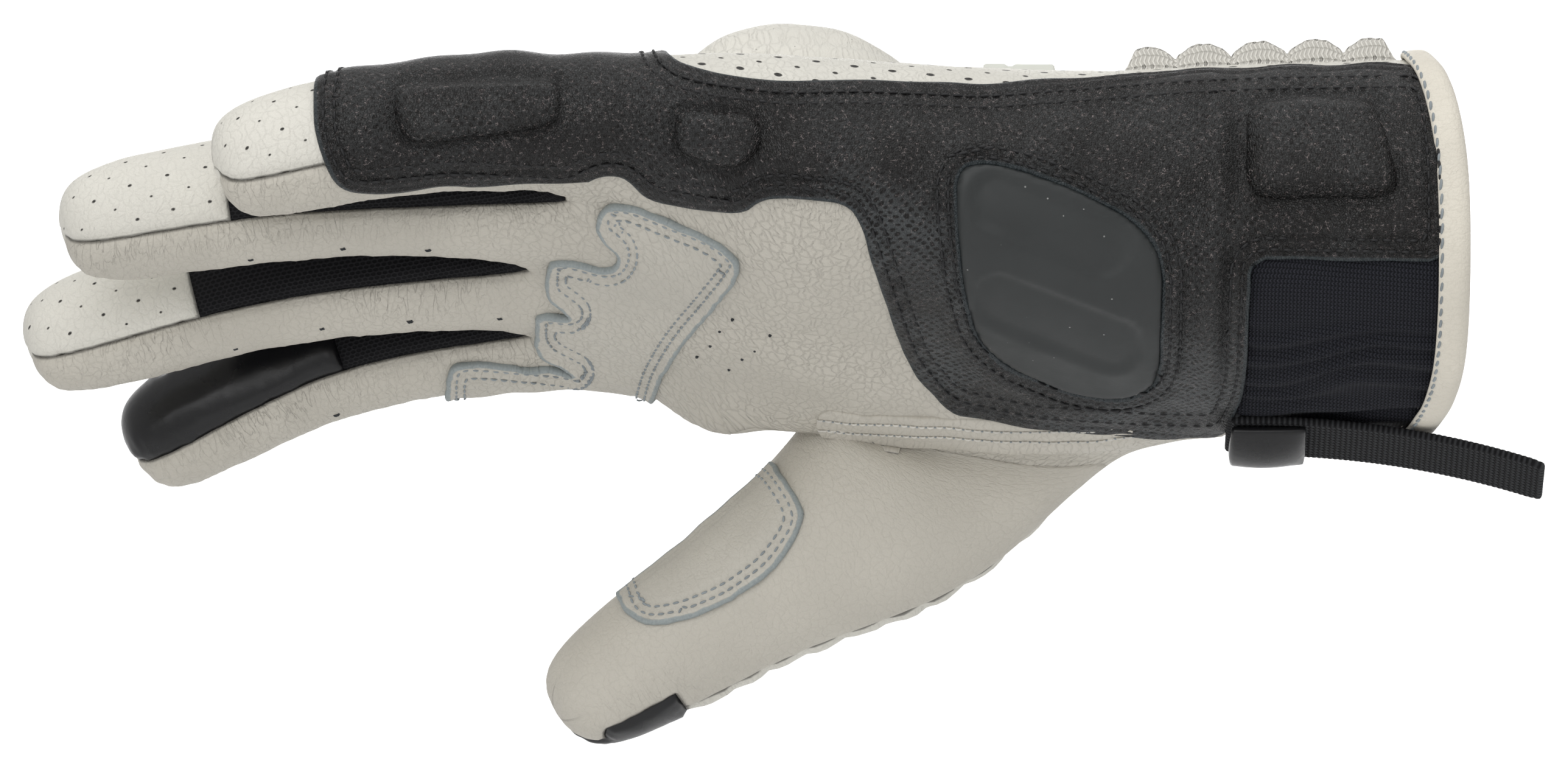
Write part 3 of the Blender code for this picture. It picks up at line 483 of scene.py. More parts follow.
@dataclass
class Sheet:
    """A thin surface as arrays: a row for each point, and faces that all have as many corners.

    lay is each point's place on the flat leather in metres, along and around. fields are further values
    for each point, such as its distance from the sheet's edge.
    """

    points: Array
    normals: Array
    lay: Array
    faces: Array
    fields: dict[str, Array] = field(default_factory=dict)

    def triangles(self) -> Array:
        """The faces as triangles."""
        if self.faces.shape[1] == 3:
            return self.faces
        return np.vstack((self.faces[:, [0, 1, 2]], self.faces[:, [0, 2, 3]]))

    def rim(self) -> Array:
        """The directed sides that only one face uses, as pairs of point numbers."""
        sides = np.vstack([self.faces[:, [k, (k + 1) % self.faces.shape[1]]]
                           for k in range(self.faces.shape[1])])
        _, first, uses = np.unique(np.sort(sides, axis=1), axis=0, return_index=True, return_counts=True)
        return sides[first[uses == 1]]

    def rim_distance(self, limit: float = 15 * MM, passed_over: Array | None = None) -> Array:
        """Straight distance from each point to the nearest rim point, no more than the limit.

        Args:
            limit: the longest distance that is told.
            passed_over: marks points that don't count as rim when both ends of a rim side have it.
        """
        rim = self.rim()
        if passed_over is not None:
            rim = rim[~(passed_over[rim[:, 0]] & passed_over[rim[:, 1]])]
        middles = 0.5 * (self.points[rim[:, 0]] + self.points[rim[:, 1]])
        marks = np.vstack((self.points[np.unique(rim)], middles)).astype(np.float32)
        points = self.points.astype(np.float32)
        squares = np.sum(marks ** 2, axis=1)
        nearest = np.full(len(points), limit ** 2)
        for start in range(0, len(points), 2000):
            part = points[start:start + 2000]
            spread = np.sum(part ** 2, axis=1)[:, None] + squares[None, :] - 2.0 * part @ marks.T
            nearest[start:start + 2000] = np.minimum(nearest[start:start + 2000], spread.min(axis=1))
        return np.sqrt(np.maximum(nearest, 0.0))

    def cut(self, keep: Array) -> "Sheet":
        """The part of the sheet where keep is above zero, cut clean through its triangles.

        Each side whose ends lie on both sides of zero gets a new point where a straight line between
        its two values reaches zero.
        """
        triangles = self.triangles()
        inside = keep[triangles] > 0.0
        count = inside.sum(axis=1)
        whole = triangles[count == 3]

        def turned(chosen: Array, first: Array) -> Array:
            """Triangles turned so that the given corner comes first."""
            order = (first[:, None] + np.arange(3)[None, :]) % 3
            return np.take_along_axis(chosen, order, axis=1)

        single = turned(triangles[count == 1], np.argmax(inside[count == 1], axis=1))
        double = turned(triangles[count == 2], np.argmin(inside[count == 2], axis=1))
        pairs = np.vstack((single[:, [0, 1]], single[:, [0, 2]], double[:, [0, 1]], double[:, [0, 2]]))
        edges, number = np.unique(np.sort(pairs, axis=1), axis=0, return_inverse=True)
        number = number.reshape(-1) + len(self.points)
        share = keep[edges[:, 0]] / (keep[edges[:, 0]] - keep[edges[:, 1]])
        ones, twos = len(single), len(double)
        single_b, single_c = number[:ones], number[ones:2 * ones]
        double_b, double_c = number[2 * ones:2 * ones + twos], number[2 * ones + twos:]
        faces = np.vstack((
            whole,
            np.column_stack((single[:, 0], single_b, single_c)),
            np.column_stack((double_b, double[:, 1], double[:, 2])),
            np.column_stack((double_b, double[:, 2], double_c)),
        ))

        def blended(values: Array) -> Array:
            """The values with those of the new points added."""
            part = share if values.ndim == 1 else share[:, None]
            return np.concatenate((values, values[edges[:, 0]] * (1.0 - part) + values[edges[:, 1]] * part))

        used, local = np.unique(faces, return_inverse=True)
        fields = {name: blended(values)[used] for name, values in self.fields.items()}
        return Sheet(blended(self.points)[used], unit(blended(self.normals)[used]), blended(self.lay)[used],
                     local.reshape(-1, 3), fields)

    def mark(self, **values: Array | float) -> None:
        """Store further values for each point."""
        for name, value in values.items():
            self.fields[name] = np.broadcast_to(value, len(self.points))

    def flipped(self) -> "Sheet":
        """The sheet with its faces turned over."""
        return Sheet(self.points, self.normals, self.lay, self.faces[:, ::-1], dict(self.fields)).raised(0.0)

    def facing(self, direction: Array) -> "Sheet":
        """The sheet turned over if it faces away from a direction."""
        return self.flipped() if np.mean(self.normals @ direction) < 0.0 else self

    def raised(self, heights: Array | float) -> "Sheet":
        """The sheet moved along its normals, with the normals worked out again."""
        points = self.points + self.normals * np.broadcast_to(heights, len(self.points))[:, None]
        triangles = self.triangles()
        corners = points[triangles]
        flat = np.cross(corners[:, 1] - corners[:, 0], corners[:, 2] - corners[:, 0])
        normals = np.zeros_like(points)
        for corner in range(3):
            np.add.at(normals, triangles[:, corner], flat)
        return Sheet(points, unit(normals), self.lay, self.faces, dict(self.fields))

    def line(self, values: Array, level: float, order: Array) -> tuple[Array, Array]:
        """Points and normals along the line where values pass a level, sorted by order."""
        triangles = self.triangles()
        sides = np.vstack([triangles[:, [k, (k + 1) % 3]] for k in range(3)])
        sides = np.unique(np.sort(sides, axis=1), axis=0)
        low, high = values[sides[:, 0]] - level, values[sides[:, 1]] - level
        sides = sides[low * high < 0.0]
        share = (level - values[sides[:, 0]]) / (values[sides[:, 1]] - values[sides[:, 0]])
        part = share[:, None]
        points = self.points[sides[:, 0]] * (1.0 - part) + self.points[sides[:, 1]] * part
        normals = unit(self.normals[sides[:, 0]] * (1.0 - part) + self.normals[sides[:, 1]] * part)
        place = order[sides[:, 0]] * (1.0 - share) + order[sides[:, 1]] * share
        sequence = np.argsort(place)
        return points[sequence], normals[sequence]


def solid(sheet: Sheet, top: Array | float, bottom: Array | float, rim_steps: int = 4,
          roundness: float = 1.0) -> Sheet:
    """A closed wall over a sheet, with a half-round rim.

    The upper side lies top above the sheet and the lower side bottom above it. Between them each rim
    point is carried round a half circle that points away from the sheet.
    """
    top, bottom = (np.broadcast_to(side, len(sheet.points)) for side in (top, bottom))
    rim = sheet.rim()
    rim_points = np.unique(rim)
    along = sheet.points[rim[:, 1]] - sheet.points[rim[:, 0]]
    outward = np.zeros_like(sheet.points)
    flat_normals = sheet.normals[rim[:, 0]] + sheet.normals[rim[:, 1]]
    away = np.cross(along, flat_normals)
    np.add.at(outward, rim[:, 0], away)
    np.add.at(outward, rim[:, 1], away)
    outward = unit(outward)
    upper = sheet.points + sheet.normals * top[:, None]
    lower = sheet.points + sheet.normals * bottom[:, None]
    count = len(upper)
    middle = 0.5 * (upper + lower)[rim_points]
    radius = 0.5 * (top - bottom)[rim_points, None]
    rings = []
    for step in range(1, rim_steps):
        angle = np.pi * (0.5 - step / rim_steps)
        rings.append(middle + radius * (sheet.normals[rim_points] * np.sin(angle)
                                        + outward[rim_points] * np.cos(angle) * roundness))
    points = np.vstack([upper, lower] + rings)
    local = np.zeros(count, dtype=int)
    local[rim_points] = np.arange(len(rim_points))
    levels = [np.arange(count)]
    levels += [2 * count + step * len(rim_points) + local for step in range(rim_steps - 1)]
    levels += [np.arange(count) + count]
    strips = []
    for over, under in zip(levels[:-1], levels[1:]):
        quads = np.column_stack((over[rim[:, 1]], over[rim[:, 0]], under[rim[:, 0]], under[rim[:, 1]]))
        strips.append(quads)
    strips = np.vstack(strips)
    if sheet.faces.shape[1] == 3:
        strips = np.vstack((strips[:, [0, 1, 2]], strips[:, [0, 2, 3]]))
    faces = np.vstack((sheet.faces, sheet.faces[:, ::-1] + count, strips))
    sources = np.concatenate([np.arange(count), np.arange(count)] + [rim_points] * (rim_steps - 1))
    fields = {name: values[sources] for name, values in sheet.fields.items()}
    layer = np.repeat((0, 1, 2), (count, count, len(points) - 2 * count))
    fields |= {"raw": (layer == 2).astype(float), "inside": (layer == 1).astype(float)}
    return Sheet(points, sheet.normals[sources], sheet.lay[sources], faces, fields)


class FineHand:
    """The hand's cage subdivided finely, from which sheets are taken by piece or by zone."""

    LEVEL = 4

    def __init__(self, form: HandForm) -> None:
        """Subdivide the cage and read points, normals, flat places and parent faces as arrays."""
        self.form = form
        mesh = bpy.data.meshes.new("hand_cage")
        mesh.from_pydata([tuple(point) for point in form.points], [], form.faces)
        parent = mesh.attributes.new("cage_face", "INT", "FACE")
        parent.data.foreach_set("value", np.arange(len(form.faces), dtype=np.int32))
        for name, lays in (("lay", form.lays), ("edge_lay", form.edge_lays)):
            mesh.uv_layers.new(name=name).data.foreach_set("uv", np.array(lays, dtype=np.float32).ravel())
        item = bpy.data.objects.new("hand_cage", mesh)
        bpy.context.scene.collection.objects.link(item)
        smoother = item.modifiers.new("smooth", "SUBSURF")
        smoother.levels = smoother.render_levels = self.LEVEL
        bpy.context.view_layer.update()
        fine = item.evaluated_get(bpy.context.evaluated_depsgraph_get()).to_mesh()
        points = np.empty(len(fine.vertices) * 3)
        fine.vertices.foreach_get("co", points)
        self.points = points.reshape(-1, 3)
        corners = np.empty(len(fine.loops), dtype=np.int32)
        fine.loops.foreach_get("vertex_index", corners)
        self.faces = corners.reshape(-1, 4)
        parents = np.empty(len(fine.polygons), dtype=np.int32)
        fine.attributes["cage_face"].data.foreach_get("value", parents)
        self.zones = np.array(form.zones)[parents]
        self.pieces = np.array(form.piece_of)[parents]
        self.lays = {}
        for name in ("lay", "edge_lay"):
            flat = np.empty(len(fine.loops) * 2)
            fine.uv_layers[name].data.foreach_get("uv", flat)
            self.lays[name] = flat.reshape(-1, 4, 2)
        bpy.data.objects.remove(item, do_unlink=True)
        bare = Sheet(self.points, np.zeros_like(self.points), np.zeros((len(self.points), 2)), self.faces)
        self.normals = bare.raised(0.0).normals
        self.whole = self.sheet(np.ones(len(self.faces), dtype=bool))

    def sheet(self, chosen: Array, lay: str = "lay") -> Sheet:
        """The sheet of the chosen faces."""
        faces = self.faces[chosen]
        used, local = np.unique(faces, return_inverse=True)
        places = np.zeros((len(used), 2))
        places[local.reshape(-1)] = self.lays[lay][chosen].reshape(-1, 2)
        return Sheet(self.points[used], self.normals[used], places, local.reshape(-1, 4))

    def zone(self, region: Region, finger: int | None = None, rows: Sequence[int] | None = None,
             sides: Sequence[int] | None = None) -> Array:
        """Marks the faces of one region, by finger, rows and sides."""
        chosen = self.zones[:, 0] == region.value
        if finger is not None:
            chosen &= self.zones[:, 1] == finger
        if rows is not None:
            chosen &= np.isin(self.zones[:, 2], list(rows))
        if sides is not None:
            chosen &= np.isin(self.zones[:, 3], list(sides))
        return chosen


class Outline:
    """A closed outline seen from the little-finger side, with rounded corners.

    Points are (along, up): along as a share of the glove's reach and up as a share of the cuff's depth.
    """

    CUTS = (1.6 * MM, 0.6 * MM)

    def __init__(self, corners: Sequence[tuple[float, float]], sizes: HandSizes) -> None:
        """Scale the corners to metres and cut them off in rounds, which gives small arcs."""
        curve = np.array(corners) * np.array([sizes.reach, sizes.cuff_depth])
        for reach in self.CUTS:
            side = np.roll(curve, -1, axis=0) - curve
            share = np.minimum(0.27, reach / np.maximum(np.linalg.norm(side, axis=1), 1e-9))[:, None]
            curve = np.stack((curve + share * side, curve + (1.0 - share) * side), 1).reshape(-1, 2)
        self.curve = curve
        self.next = np.roll(curve, -1, axis=0)
        steps = np.linalg.norm(self.next - self.curve, axis=1)
        self.starts = np.concatenate([[0.0], np.cumsum(steps)[:-1]])
        self.steps = steps

    def measure(self, points: Array) -> tuple[Array, Array]:
        """Signed distance from the outline, above zero inside, and the place along it.

        The distance is to the nearest of its straight sides. A point is inside where a line to its
        right crosses the outline an odd number of times.
        """
        flat = points[:, [0, 2]]
        distance = np.full(len(flat), np.inf)
        place = np.zeros(len(flat))
        inside = np.zeros(len(flat), dtype=bool)
        for a, b, step, start in zip(self.curve, self.next, self.steps, self.starts):
            share = np.clip((flat - a) @ (b - a) / max(step ** 2, 1e-16), 0.0, 1.0)
            gap = np.linalg.norm(flat - a - share[:, None] * (b - a), axis=1)
            nearer = gap < distance
            distance = np.where(nearer, gap, distance)
            place = np.where(nearer, start + share * step, place)
            straddles = (a[1] > flat[:, 1]) != (b[1] > flat[:, 1])
            if abs(b[1] - a[1]) > 1e-12:
                crossing = a[0] + (flat[:, 1] - a[1]) / (b[1] - a[1]) * (b[0] - a[0])
                inside ^= straddles & (flat[:, 0] < crossing)
        return np.where(inside, distance, -distance), place


# Finishes

class Shader:
    """A material under construction: small named steps in place of bare nodes."""

    def __init__(self, name: str, color: Sequence[float], roughness: float) -> None:
        """Start from a Principled shader in one colour."""
        self.material = bpy.data.materials.new(name)
        self.material.use_nodes = True
        self.tree = self.material.node_tree
        self.base = self.tree.nodes["Principled BSDF"]
        self.base.inputs["Base Color"].default_value = (*color, 1.0)
        self.base.inputs["Roughness"].default_value = roughness
        self.coordinates = self.step("TexCoord", {}, "Object")
        self.normal = None

    def _plug(self, socket: Socket, value: Drive) -> None:
        """Link a socket to a step's output, or set it to a constant."""
        if isinstance(value, Socket):
            self.tree.links.new(value, socket)
        else:
            socket.default_value = value

    def step(self, kind: str, values: dict[int | str, Drive], output: int | str = 0,
             **settings: str) -> Socket:
        """One node.

        Args:
            kind: the node's type, less its common first words.
            values: what its sockets take, by name or number.
            output: the name or number of the output wanted.
            settings: the node's own settings.

        Returns:
            That output.
        """
        node = self.tree.nodes.new("ShaderNode" + kind)
        for name, setting in settings.items():
            setattr(node, name, setting)
        for name, value in values.items():
            self._plug(node.inputs[name], value)
        return node.outputs[output]

    def math(self, operation: str, first: Drive, second: Drive = 0.5, third: Drive = 0.0) -> Socket:
        """One arithmetic step on numbers."""
        return self.step("Math", {0: first, 1: second, 2: third}, operation=operation)

    def times(self, *values: Drive) -> Socket:
        """The values multiplied."""
        product = values[0]
        for value in values[1:]:
            product = self.math("MULTIPLY", product, value)
        return product

    def rest(self, value: Drive) -> Socket:
        """What the value lacks to one."""
        return self.math("SUBTRACT", 1.0, value)

    def span(self, value: Drive, low: Drive, high: Drive, to_low: float = 0.0,
             to_high: float = 1.0) -> Socket:
        """A smooth step: value from low to high becomes to_low to to_high."""
        values = {"Value": value, "From Min": low, "From Max": high, "To Min": to_low, "To Max": to_high}
        return self.step("MapRange", values, "Result", interpolation_type="SMOOTHSTEP")

    def mix(self, share: Drive, first: Drive, second: Drive) -> Socket:
        """Two colours mixed."""
        node = self.tree.nodes.new("ShaderNodeMix")
        node.data_type = "RGBA"
        self._plug(node.inputs["Factor"], share)
        for name, color in (("A", first), ("B", second)):
            socket = [item for item in node.inputs if item.name == name and item.type == "RGBA"][0]
            self._plug(socket, color if isinstance(color, Socket) else (*color, 1.0))
        return [item for item in node.outputs if item.type == "RGBA"][0]

    def stretched(self, vector: Socket, scale: Sequence[float]) -> Socket:
        """Coordinates multiplied along each axis."""
        return self.step("Mapping", {"Vector": vector, "Scale": scale}, "Vector")

    def noise(self, scale: float, detail: float = 2.0, roughness: float = 0.5,
              vector: Socket | None = None, distortion: float = 0.0) -> Socket:
        """Soft noise, scale in waves to the metre."""
        values = {"Vector": self.coordinates if vector is None else vector, "Scale": scale, "Detail": detail,
                  "Roughness": roughness, "Distortion": distortion}
        return self.step("TexNoise", values, "Fac")

    def cells(self, scale: float, vector: Socket) -> Socket:
        """Distance from the borders of flat cells, scale in cells to the metre."""
        return self.step("TexVoronoi", {"Vector": vector, "Scale": scale}, "Distance",
                         voronoi_dimensions="2D", feature="DISTANCE_TO_EDGE")

    def specks(self, scale: float) -> Socket:
        """Distance from points strewn through space, scale in points to the metre."""
        return self.step("TexVoronoi", {"Vector": self.coordinates, "Scale": scale}, "Distance")

    def warped(self, vector: Socket, scale: float, amount: float) -> Socket:
        """Coordinates pushed about by soft noise, by about amount metres."""
        cloud = self.step("TexNoise", {"Vector": vector, "Scale": scale}, "Color")
        centred = self.step("VectorMath", {0: cloud, 1: (0.5, 0.5, 0.5)}, operation="SUBTRACT")
        return self.step("VectorMath", {0: centred, 1: (4.0 * amount,) * 3, 2: vector},
                         operation="MULTIPLY_ADD")

    def split(self, vector: Socket) -> tuple[Socket, Socket]:
        """The first two numbers of a vector."""
        return tuple(self.step("SeparateXYZ", {0: vector}, axis) for axis in ("X", "Y"))

    def value_of(self, name: str) -> Socket:
        """A value stored on the piece's points."""
        return self.step("Attribute", {}, "Fac", attribute_name=name)

    def lay(self) -> tuple[Socket, Socket, Socket]:
        """The place on the flat leather, as a vector and as its two numbers."""
        place = self.step("UVMap", {}, "UV", uv_map="lay")
        return place, *self.split(place)

    def bump(self, height: Socket, distance: float, strength: float = 1.0) -> None:
        """Add relief: a height from 0 to 1 stands for distance metres."""
        values = {"Distance": distance, "Strength": strength, "Height": height}
        if self.normal is not None:
            values["Normal"] = self.normal
        self.normal = self.step("Bump", values, "Normal")
        self._plug(self.base.inputs["Normal"], self.normal)

    def finished(self, color: Socket, specular: float,
                 roughness: Socket | None = None) -> bpy.types.Material:
        """The material, driven by a colour and, where one is given, by a roughness."""
        self._plug(self.base.inputs["Base Color"], color)
        if roughness is not None:
            self._plug(self.base.inputs["Roughness"], roughness)
        self.base.inputs["Specular IOR Level"].default_value = specular
        return self.material

    def holes(self, along: Socket, around: Socket, pitch_along: float, pitch_around: float, radius: float,
              uneven: float = 0.0, size: Drive = 1.0, soft: float = 0.10 * MM) -> Socket:
        """A staggered lattice of round dots: 1 in a dot and 0 between.

        Every second row is moved by half a pitch. uneven makes the dots of every second row larger, and
        size scales the dots from place to place.
        """
        row = self.math("DIVIDE", around, pitch_around)
        odd = self.math("MODULO", self.math("ABSOLUTE", self.math("FLOOR", row)), 2.0)
        step = self.math("MULTIPLY_ADD", odd, 0.5, self.math("DIVIDE", along, pitch_along))
        u = self.times(self.math("SUBTRACT", self.math("FRACT", step), 0.5), pitch_along)
        v = self.times(self.math("SUBTRACT", self.math("FRACT", row), 0.5), pitch_around)
        square = self.math("ADD", self.times(u, u, 0.6), self.times(v, v))
        distance = self.math("SQRT", square)
        limit = self.times(self.math("MULTIPLY_ADD", odd, uneven * radius, radius), size)
        return self.span(self.math("SUBTRACT", distance, limit), -soft, soft, 1.0, 0.0)


@dataclass(frozen=True)
class GoatLeather:
    """Off-white goat leather: pebbles with thin creases between, cross wrinkles and raw suede edges, with
    painted shade in the creases, wrinkles, seams and holes.
    """

    name: str
    tone: tuple[float, float, float] = (0.560, 0.530, 0.465)
    wrinkles: float = 0.6
    pebble: float = 1.0
    perforated: bool = False
    suede_edge: float = 0.0

    def build(self) -> bpy.types.Material:
        """The material's nodes."""
        shader = Shader(self.name, self.tone, 0.52)
        flat, along, around = shader.lay()
        edge = shader.value_of("edge")
        inner = shader.value_of("inside")
        patchy = shader.noise(42.0, 2.0, 0.5)
        color = shader.mix(shader.span(patchy, 0.30, 0.70), self._shade(0.94), self._shade(1.03))
        bent = shader.warped(flat, 330.0, 0.8 * MM)
        pebbles = shader.cells(640.0, shader.stretched(bent, (1.15, 0.72, 1.0)))
        valley = shader.span(pebbles, 0.0, 0.10, 1.0, 0.0)
        depth = shader.times(shader.span(patchy, 0.25, 0.70, 0.45, 1.0), self.pebble)
        depth = shader.times(depth, shader.value_of("pebbled"))
        # Painted shade: the creases between the pebbles are painted darker.
        color = shader.mix(shader.times(valley, shader.times(depth, 0.42)), color,
                           self._shade(0.55))
        shader.bump(shader.times(shader.span(pebbles, 0.0, 0.24), depth), 0.16 * MM, 0.9)
        grain = shader.cells(1500.0, shader.warped(flat, 700.0, 0.25 * MM))
        shader.bump(shader.span(grain, 0.0, 0.25), 0.035 * MM, 0.8)
        color = self._wrinkled(shader, flat, color)
        # Painted shade: the leather is painted darker within about 0.6 mm of its seams, where the seam's
        # groove is shaded.
        seam = shader.span(edge, 0.10 * MM, 0.60 * MM, 0.88, 0.0)
        color = shader.mix(seam, color, self._shade(0.30))
        if self.perforated:
            size = shader.value_of("hole_size")
            dots = shader.holes(along, around, 6.4 * MM, 3.4 * MM, 0.31 * MM, 0.55, size)
            dots = shader.times(dots, shader.span(edge, 1.6 * MM, 2.2 * MM))
            dots = shader.times(dots, shader.rest(inner))
            # Painted shade: each hole is a near-black dot of colour over a sunk bump, standing for the shade
            # inside it.
            color = shader.mix(dots, color, (0.035, 0.033, 0.030))
            shader.bump(shader.rest(dots), 0.5 * MM, 1.0)
        if self.suede_edge > 0.0:
            color = self._bare_edge(shader, edge, color)
        color = shader.mix(shader.times(inner, 0.8), color, (0.24, 0.23, 0.22))
        return shader.finished(color, 0.30, shader.span(valley, 0.0, 1.0, 0.50, 0.66))

    def _shade(self, share: float) -> tuple[float, ...]:
        """The leather's tone made darker or paler."""
        return tuple(min(share * value, 1.0) for value in self.tone)

    def _wrinkled(self, shader: Shader, flat: Socket, color: Socket) -> Socket:
        """Thin long wrinkles across the fingers where the skin is creased, strongest near the seams, with
        painted shade in the wrinkle lines.
        """
        amount = shader.times(shader.value_of("crease"), self.wrinkles)
        folds = shader.noise(1.0, 2.0, 0.5, shader.stretched(flat, (700.0, 150.0, 1.0)), 0.3)
        off_fold = shader.math("ABSOLUTE", shader.math("SUBTRACT", folds, 0.5))
        lines = shader.span(off_fold, 0.0, 0.022, 1.0, 0.0)
        lines = shader.times(lines, amount)
        shader.bump(shader.rest(lines), 0.10 * MM, 0.8)
        swell = shader.noise(1.0, 2.0, 0.5, shader.stretched(flat, (380.0, 70.0, 1.0)), 0.3)
        shader.bump(shader.times(swell, amount), 0.35 * MM, 0.8)
        # Painted shade: the wrinkle lines are painted darker.
        return shader.mix(shader.times(lines, 0.30), color, self._shade(0.50))

    def _bare_edge(self, shader: Shader, edge: Socket, color: Socket) -> Socket:
        """The bluish-grey suede that shows along a cut edge, with a ragged inner side."""
        ragged = shader.math("MULTIPLY_ADD", shader.noise(700.0, 2.0), 0.7 * MM, -0.35 * MM)
        shown = shader.span(shader.math("ADD", edge, ragged), self.suede_edge * 0.7,
                            self.suede_edge * 1.1, 1.0, 0.0)
        shown = shader.math("MAXIMUM", shown, shader.value_of("raw"))
        suede = shader.mix(shader.noise(2400.0, 2.0), (0.24, 0.28, 0.29), (0.40, 0.44, 0.44))
        return shader.mix(shader.times(shown, 0.85), color, suede)


@dataclass(frozen=True)
class NettedLeather:
    """Black leather embossed like a fine net, with painted pinkish-white glints as painted highlights,
    painted shade in its dimples and a raw grey edge.
    """

    name: str

    def build(self) -> bpy.types.Material:
        """The material's nodes."""
        shader = Shader(self.name, (0.016, 0.015, 0.015), 0.42)
        flat, _, _ = shader.lay()
        edge = shader.value_of("edge")
        along, around = shader.split(shader.warped(flat, 150.0, 0.8 * MM))
        uneven = shader.span(shader.noise(800.0, 1.0), 0.3, 0.7, 0.6, 1.25)
        dots = shader.holes(along, around, 1.7 * MM, 0.85 * MM, 0.33 * MM, 0.0, uneven, 0.12 * MM)
        shown = shader.span(shader.noise(60.0, 2.0), 0.36, 0.60, 0.30, 1.0)
        shown = shader.times(shown, shader.value_of("netted"))
        net = shader.times(shader.rest(dots), shown)
        crackle = shader.cells(2100.0, shader.warped(flat, 700.0, 0.3 * MM))
        glint_veins = shader.span(crackle, 0.0, 0.16, 1.0, 0.0)
        glint_spots = shader.span(shader.noise(1300.0, 2.0, 0.6), 0.55, 0.68)
        shader.bump(net, 0.14 * MM, 0.9)
        shader.bump(shader.span(crackle, 0.0, 0.3), 0.13 * MM, 1.0)
        shader.bump(shader.noise(420.0, 3.0), 0.40 * MM, 0.7)
        # Painted shade: the dimples between the net's raised lines are painted darker.
        color = shader.mix(net, (0.0085, 0.0074, 0.0069), (0.064, 0.069, 0.071))
        # Painted highlights: pinkish-white glints are painted along the crackle's veins, weaker where the net
        # shows.
        painted_glint_weight = shader.math("MULTIPLY_ADD", shader.value_of("netted"), -0.20, 0.50)
        painted_glints = shader.times(shader.times(glint_veins, glint_spots), painted_glint_weight)
        color = shader.mix(painted_glints, color, (0.44, 0.37, 0.36))
        rim = shader.math("MAXIMUM", shader.value_of("raw"), shader.span(edge, 0.25 * MM, 0.6 * MM, 1.0, 0.0))
        fuzz = shader.mix(shader.noise(2600.0, 2.0), (0.014, 0.018, 0.020), (0.060, 0.075, 0.082))
        color = shader.mix(shader.times(rim, 0.8), color, fuzz)
        color = shader.mix(shader.times(shader.value_of("shadow"), 0.9), color, (0.003, 0.003, 0.003))
        return shader.finished(color, 0.34, shader.span(shown, 0.0, 1.0, 0.30, 0.46))


@dataclass(frozen=True)
class PlainFinish:
    """A finish with soft mottling and fine relief: smooth leather, moulded plate, rubber or thread."""

    name: str
    tone: tuple[float, float, float]
    roughness: float
    grain: float = 900.0
    relief: float = 0.05 * MM
    contrast: float = 0.15
    specks: float = 0.0
    specular: float = 0.5

    def build(self) -> bpy.types.Material:
        """The material's nodes."""
        shader = Shader(self.name, self.tone, self.roughness)
        mottle = shader.span(shader.noise(60.0, 4.0, 0.6), 0.3, 0.7)
        dark = tuple((1.0 - self.contrast) * value for value in self.tone)
        pale = tuple((1.0 + self.contrast) * value for value in self.tone)
        color = shader.mix(mottle, dark, pale)
        if self.specks > 0.0:
            dust = shader.span(shader.specks(320.0), 0.035, 0.06, self.specks, 0.0)
            color = shader.mix(dust, color, (0.55, 0.55, 0.53))
        shader.bump(shader.noise(self.grain, 3.0, 0.6), self.relief, 0.7)
        uneven = shader.span(shader.noise(140.0, 3.0), 0.3, 0.7, 0.9 * self.roughness,
                             min(1.1 * self.roughness, 1.0))
        return shader.finished(color, self.specular, uneven)


class Weave(Enum):
    """How a fabric is made."""

    NET = "net"
    KNIT = "knit"
    RIBBED = "ribbed"


@dataclass(frozen=True)
class Fabric:
    """A woven or knitted fabric whose threads follow its piece's flat layout, with painted highlight on
    raised threads and painted shade between.
    """

    name: str
    weave: Weave
    tone: tuple[float, float, float]
    painted_highlight_tone: tuple[float, float, float]
    pitch_along: float
    pitch_around: float

    def build(self) -> bpy.types.Material:
        """The material's nodes."""
        shader = Shader(self.name, self.tone, 0.85)
        flat, along, around = shader.lay()
        fuzz = shader.noise(3000.0, 2.0)
        if self.weave is Weave.NET:
            dots = shader.holes(along, around, self.pitch_along, self.pitch_around, 0.30 * self.pitch_along)
            height = shader.rest(dots)
            depth = 0.25 * MM
        else:
            column = shader.math("DIVIDE", around, self.pitch_around)
            bend = shader.math("ABSOLUTE", shader.math("SUBTRACT", shader.math("FRACT", column), 0.5))
            row = shader.math("MULTIPLY_ADD", bend, 1.0, shader.math("DIVIDE", along, self.pitch_along))
            wave = shader.math("ABSOLUTE", shader.math("SUBTRACT", shader.math("FRACT", row), 0.5))
            valley = shader.span(bend, 0.36, 0.5)
            height = shader.math("SUBTRACT", shader.times(shader.span(wave, 0.0, 0.45), 1.0),
                                 shader.times(valley, 0.7))
            depth = 0.30 * MM
        # Painted light and shade: raised threads are painted towards the highlight tone, while hollows and
        # holes keep the dark tone.
        color = shader.mix(shader.times(height, shader.math("MULTIPLY_ADD", fuzz, 0.6, 0.5)),
                           self.tone, self.painted_highlight_tone)
        if self.weave is Weave.RIBBED:
            pores = shader.holes(along, around, 1.3 * MM, 1.9 * MM, 0.20 * MM)
            # Painted shade: the knit's pores are painted darker.
            color = shader.mix(shader.times(pores, 0.6), color, (0.34, 0.33, 0.30))
            shader.bump(shader.rest(pores), 0.2 * MM, 0.8)
        shader.bump(height, depth, 0.8)
        return shader.finished(color, 0.2)


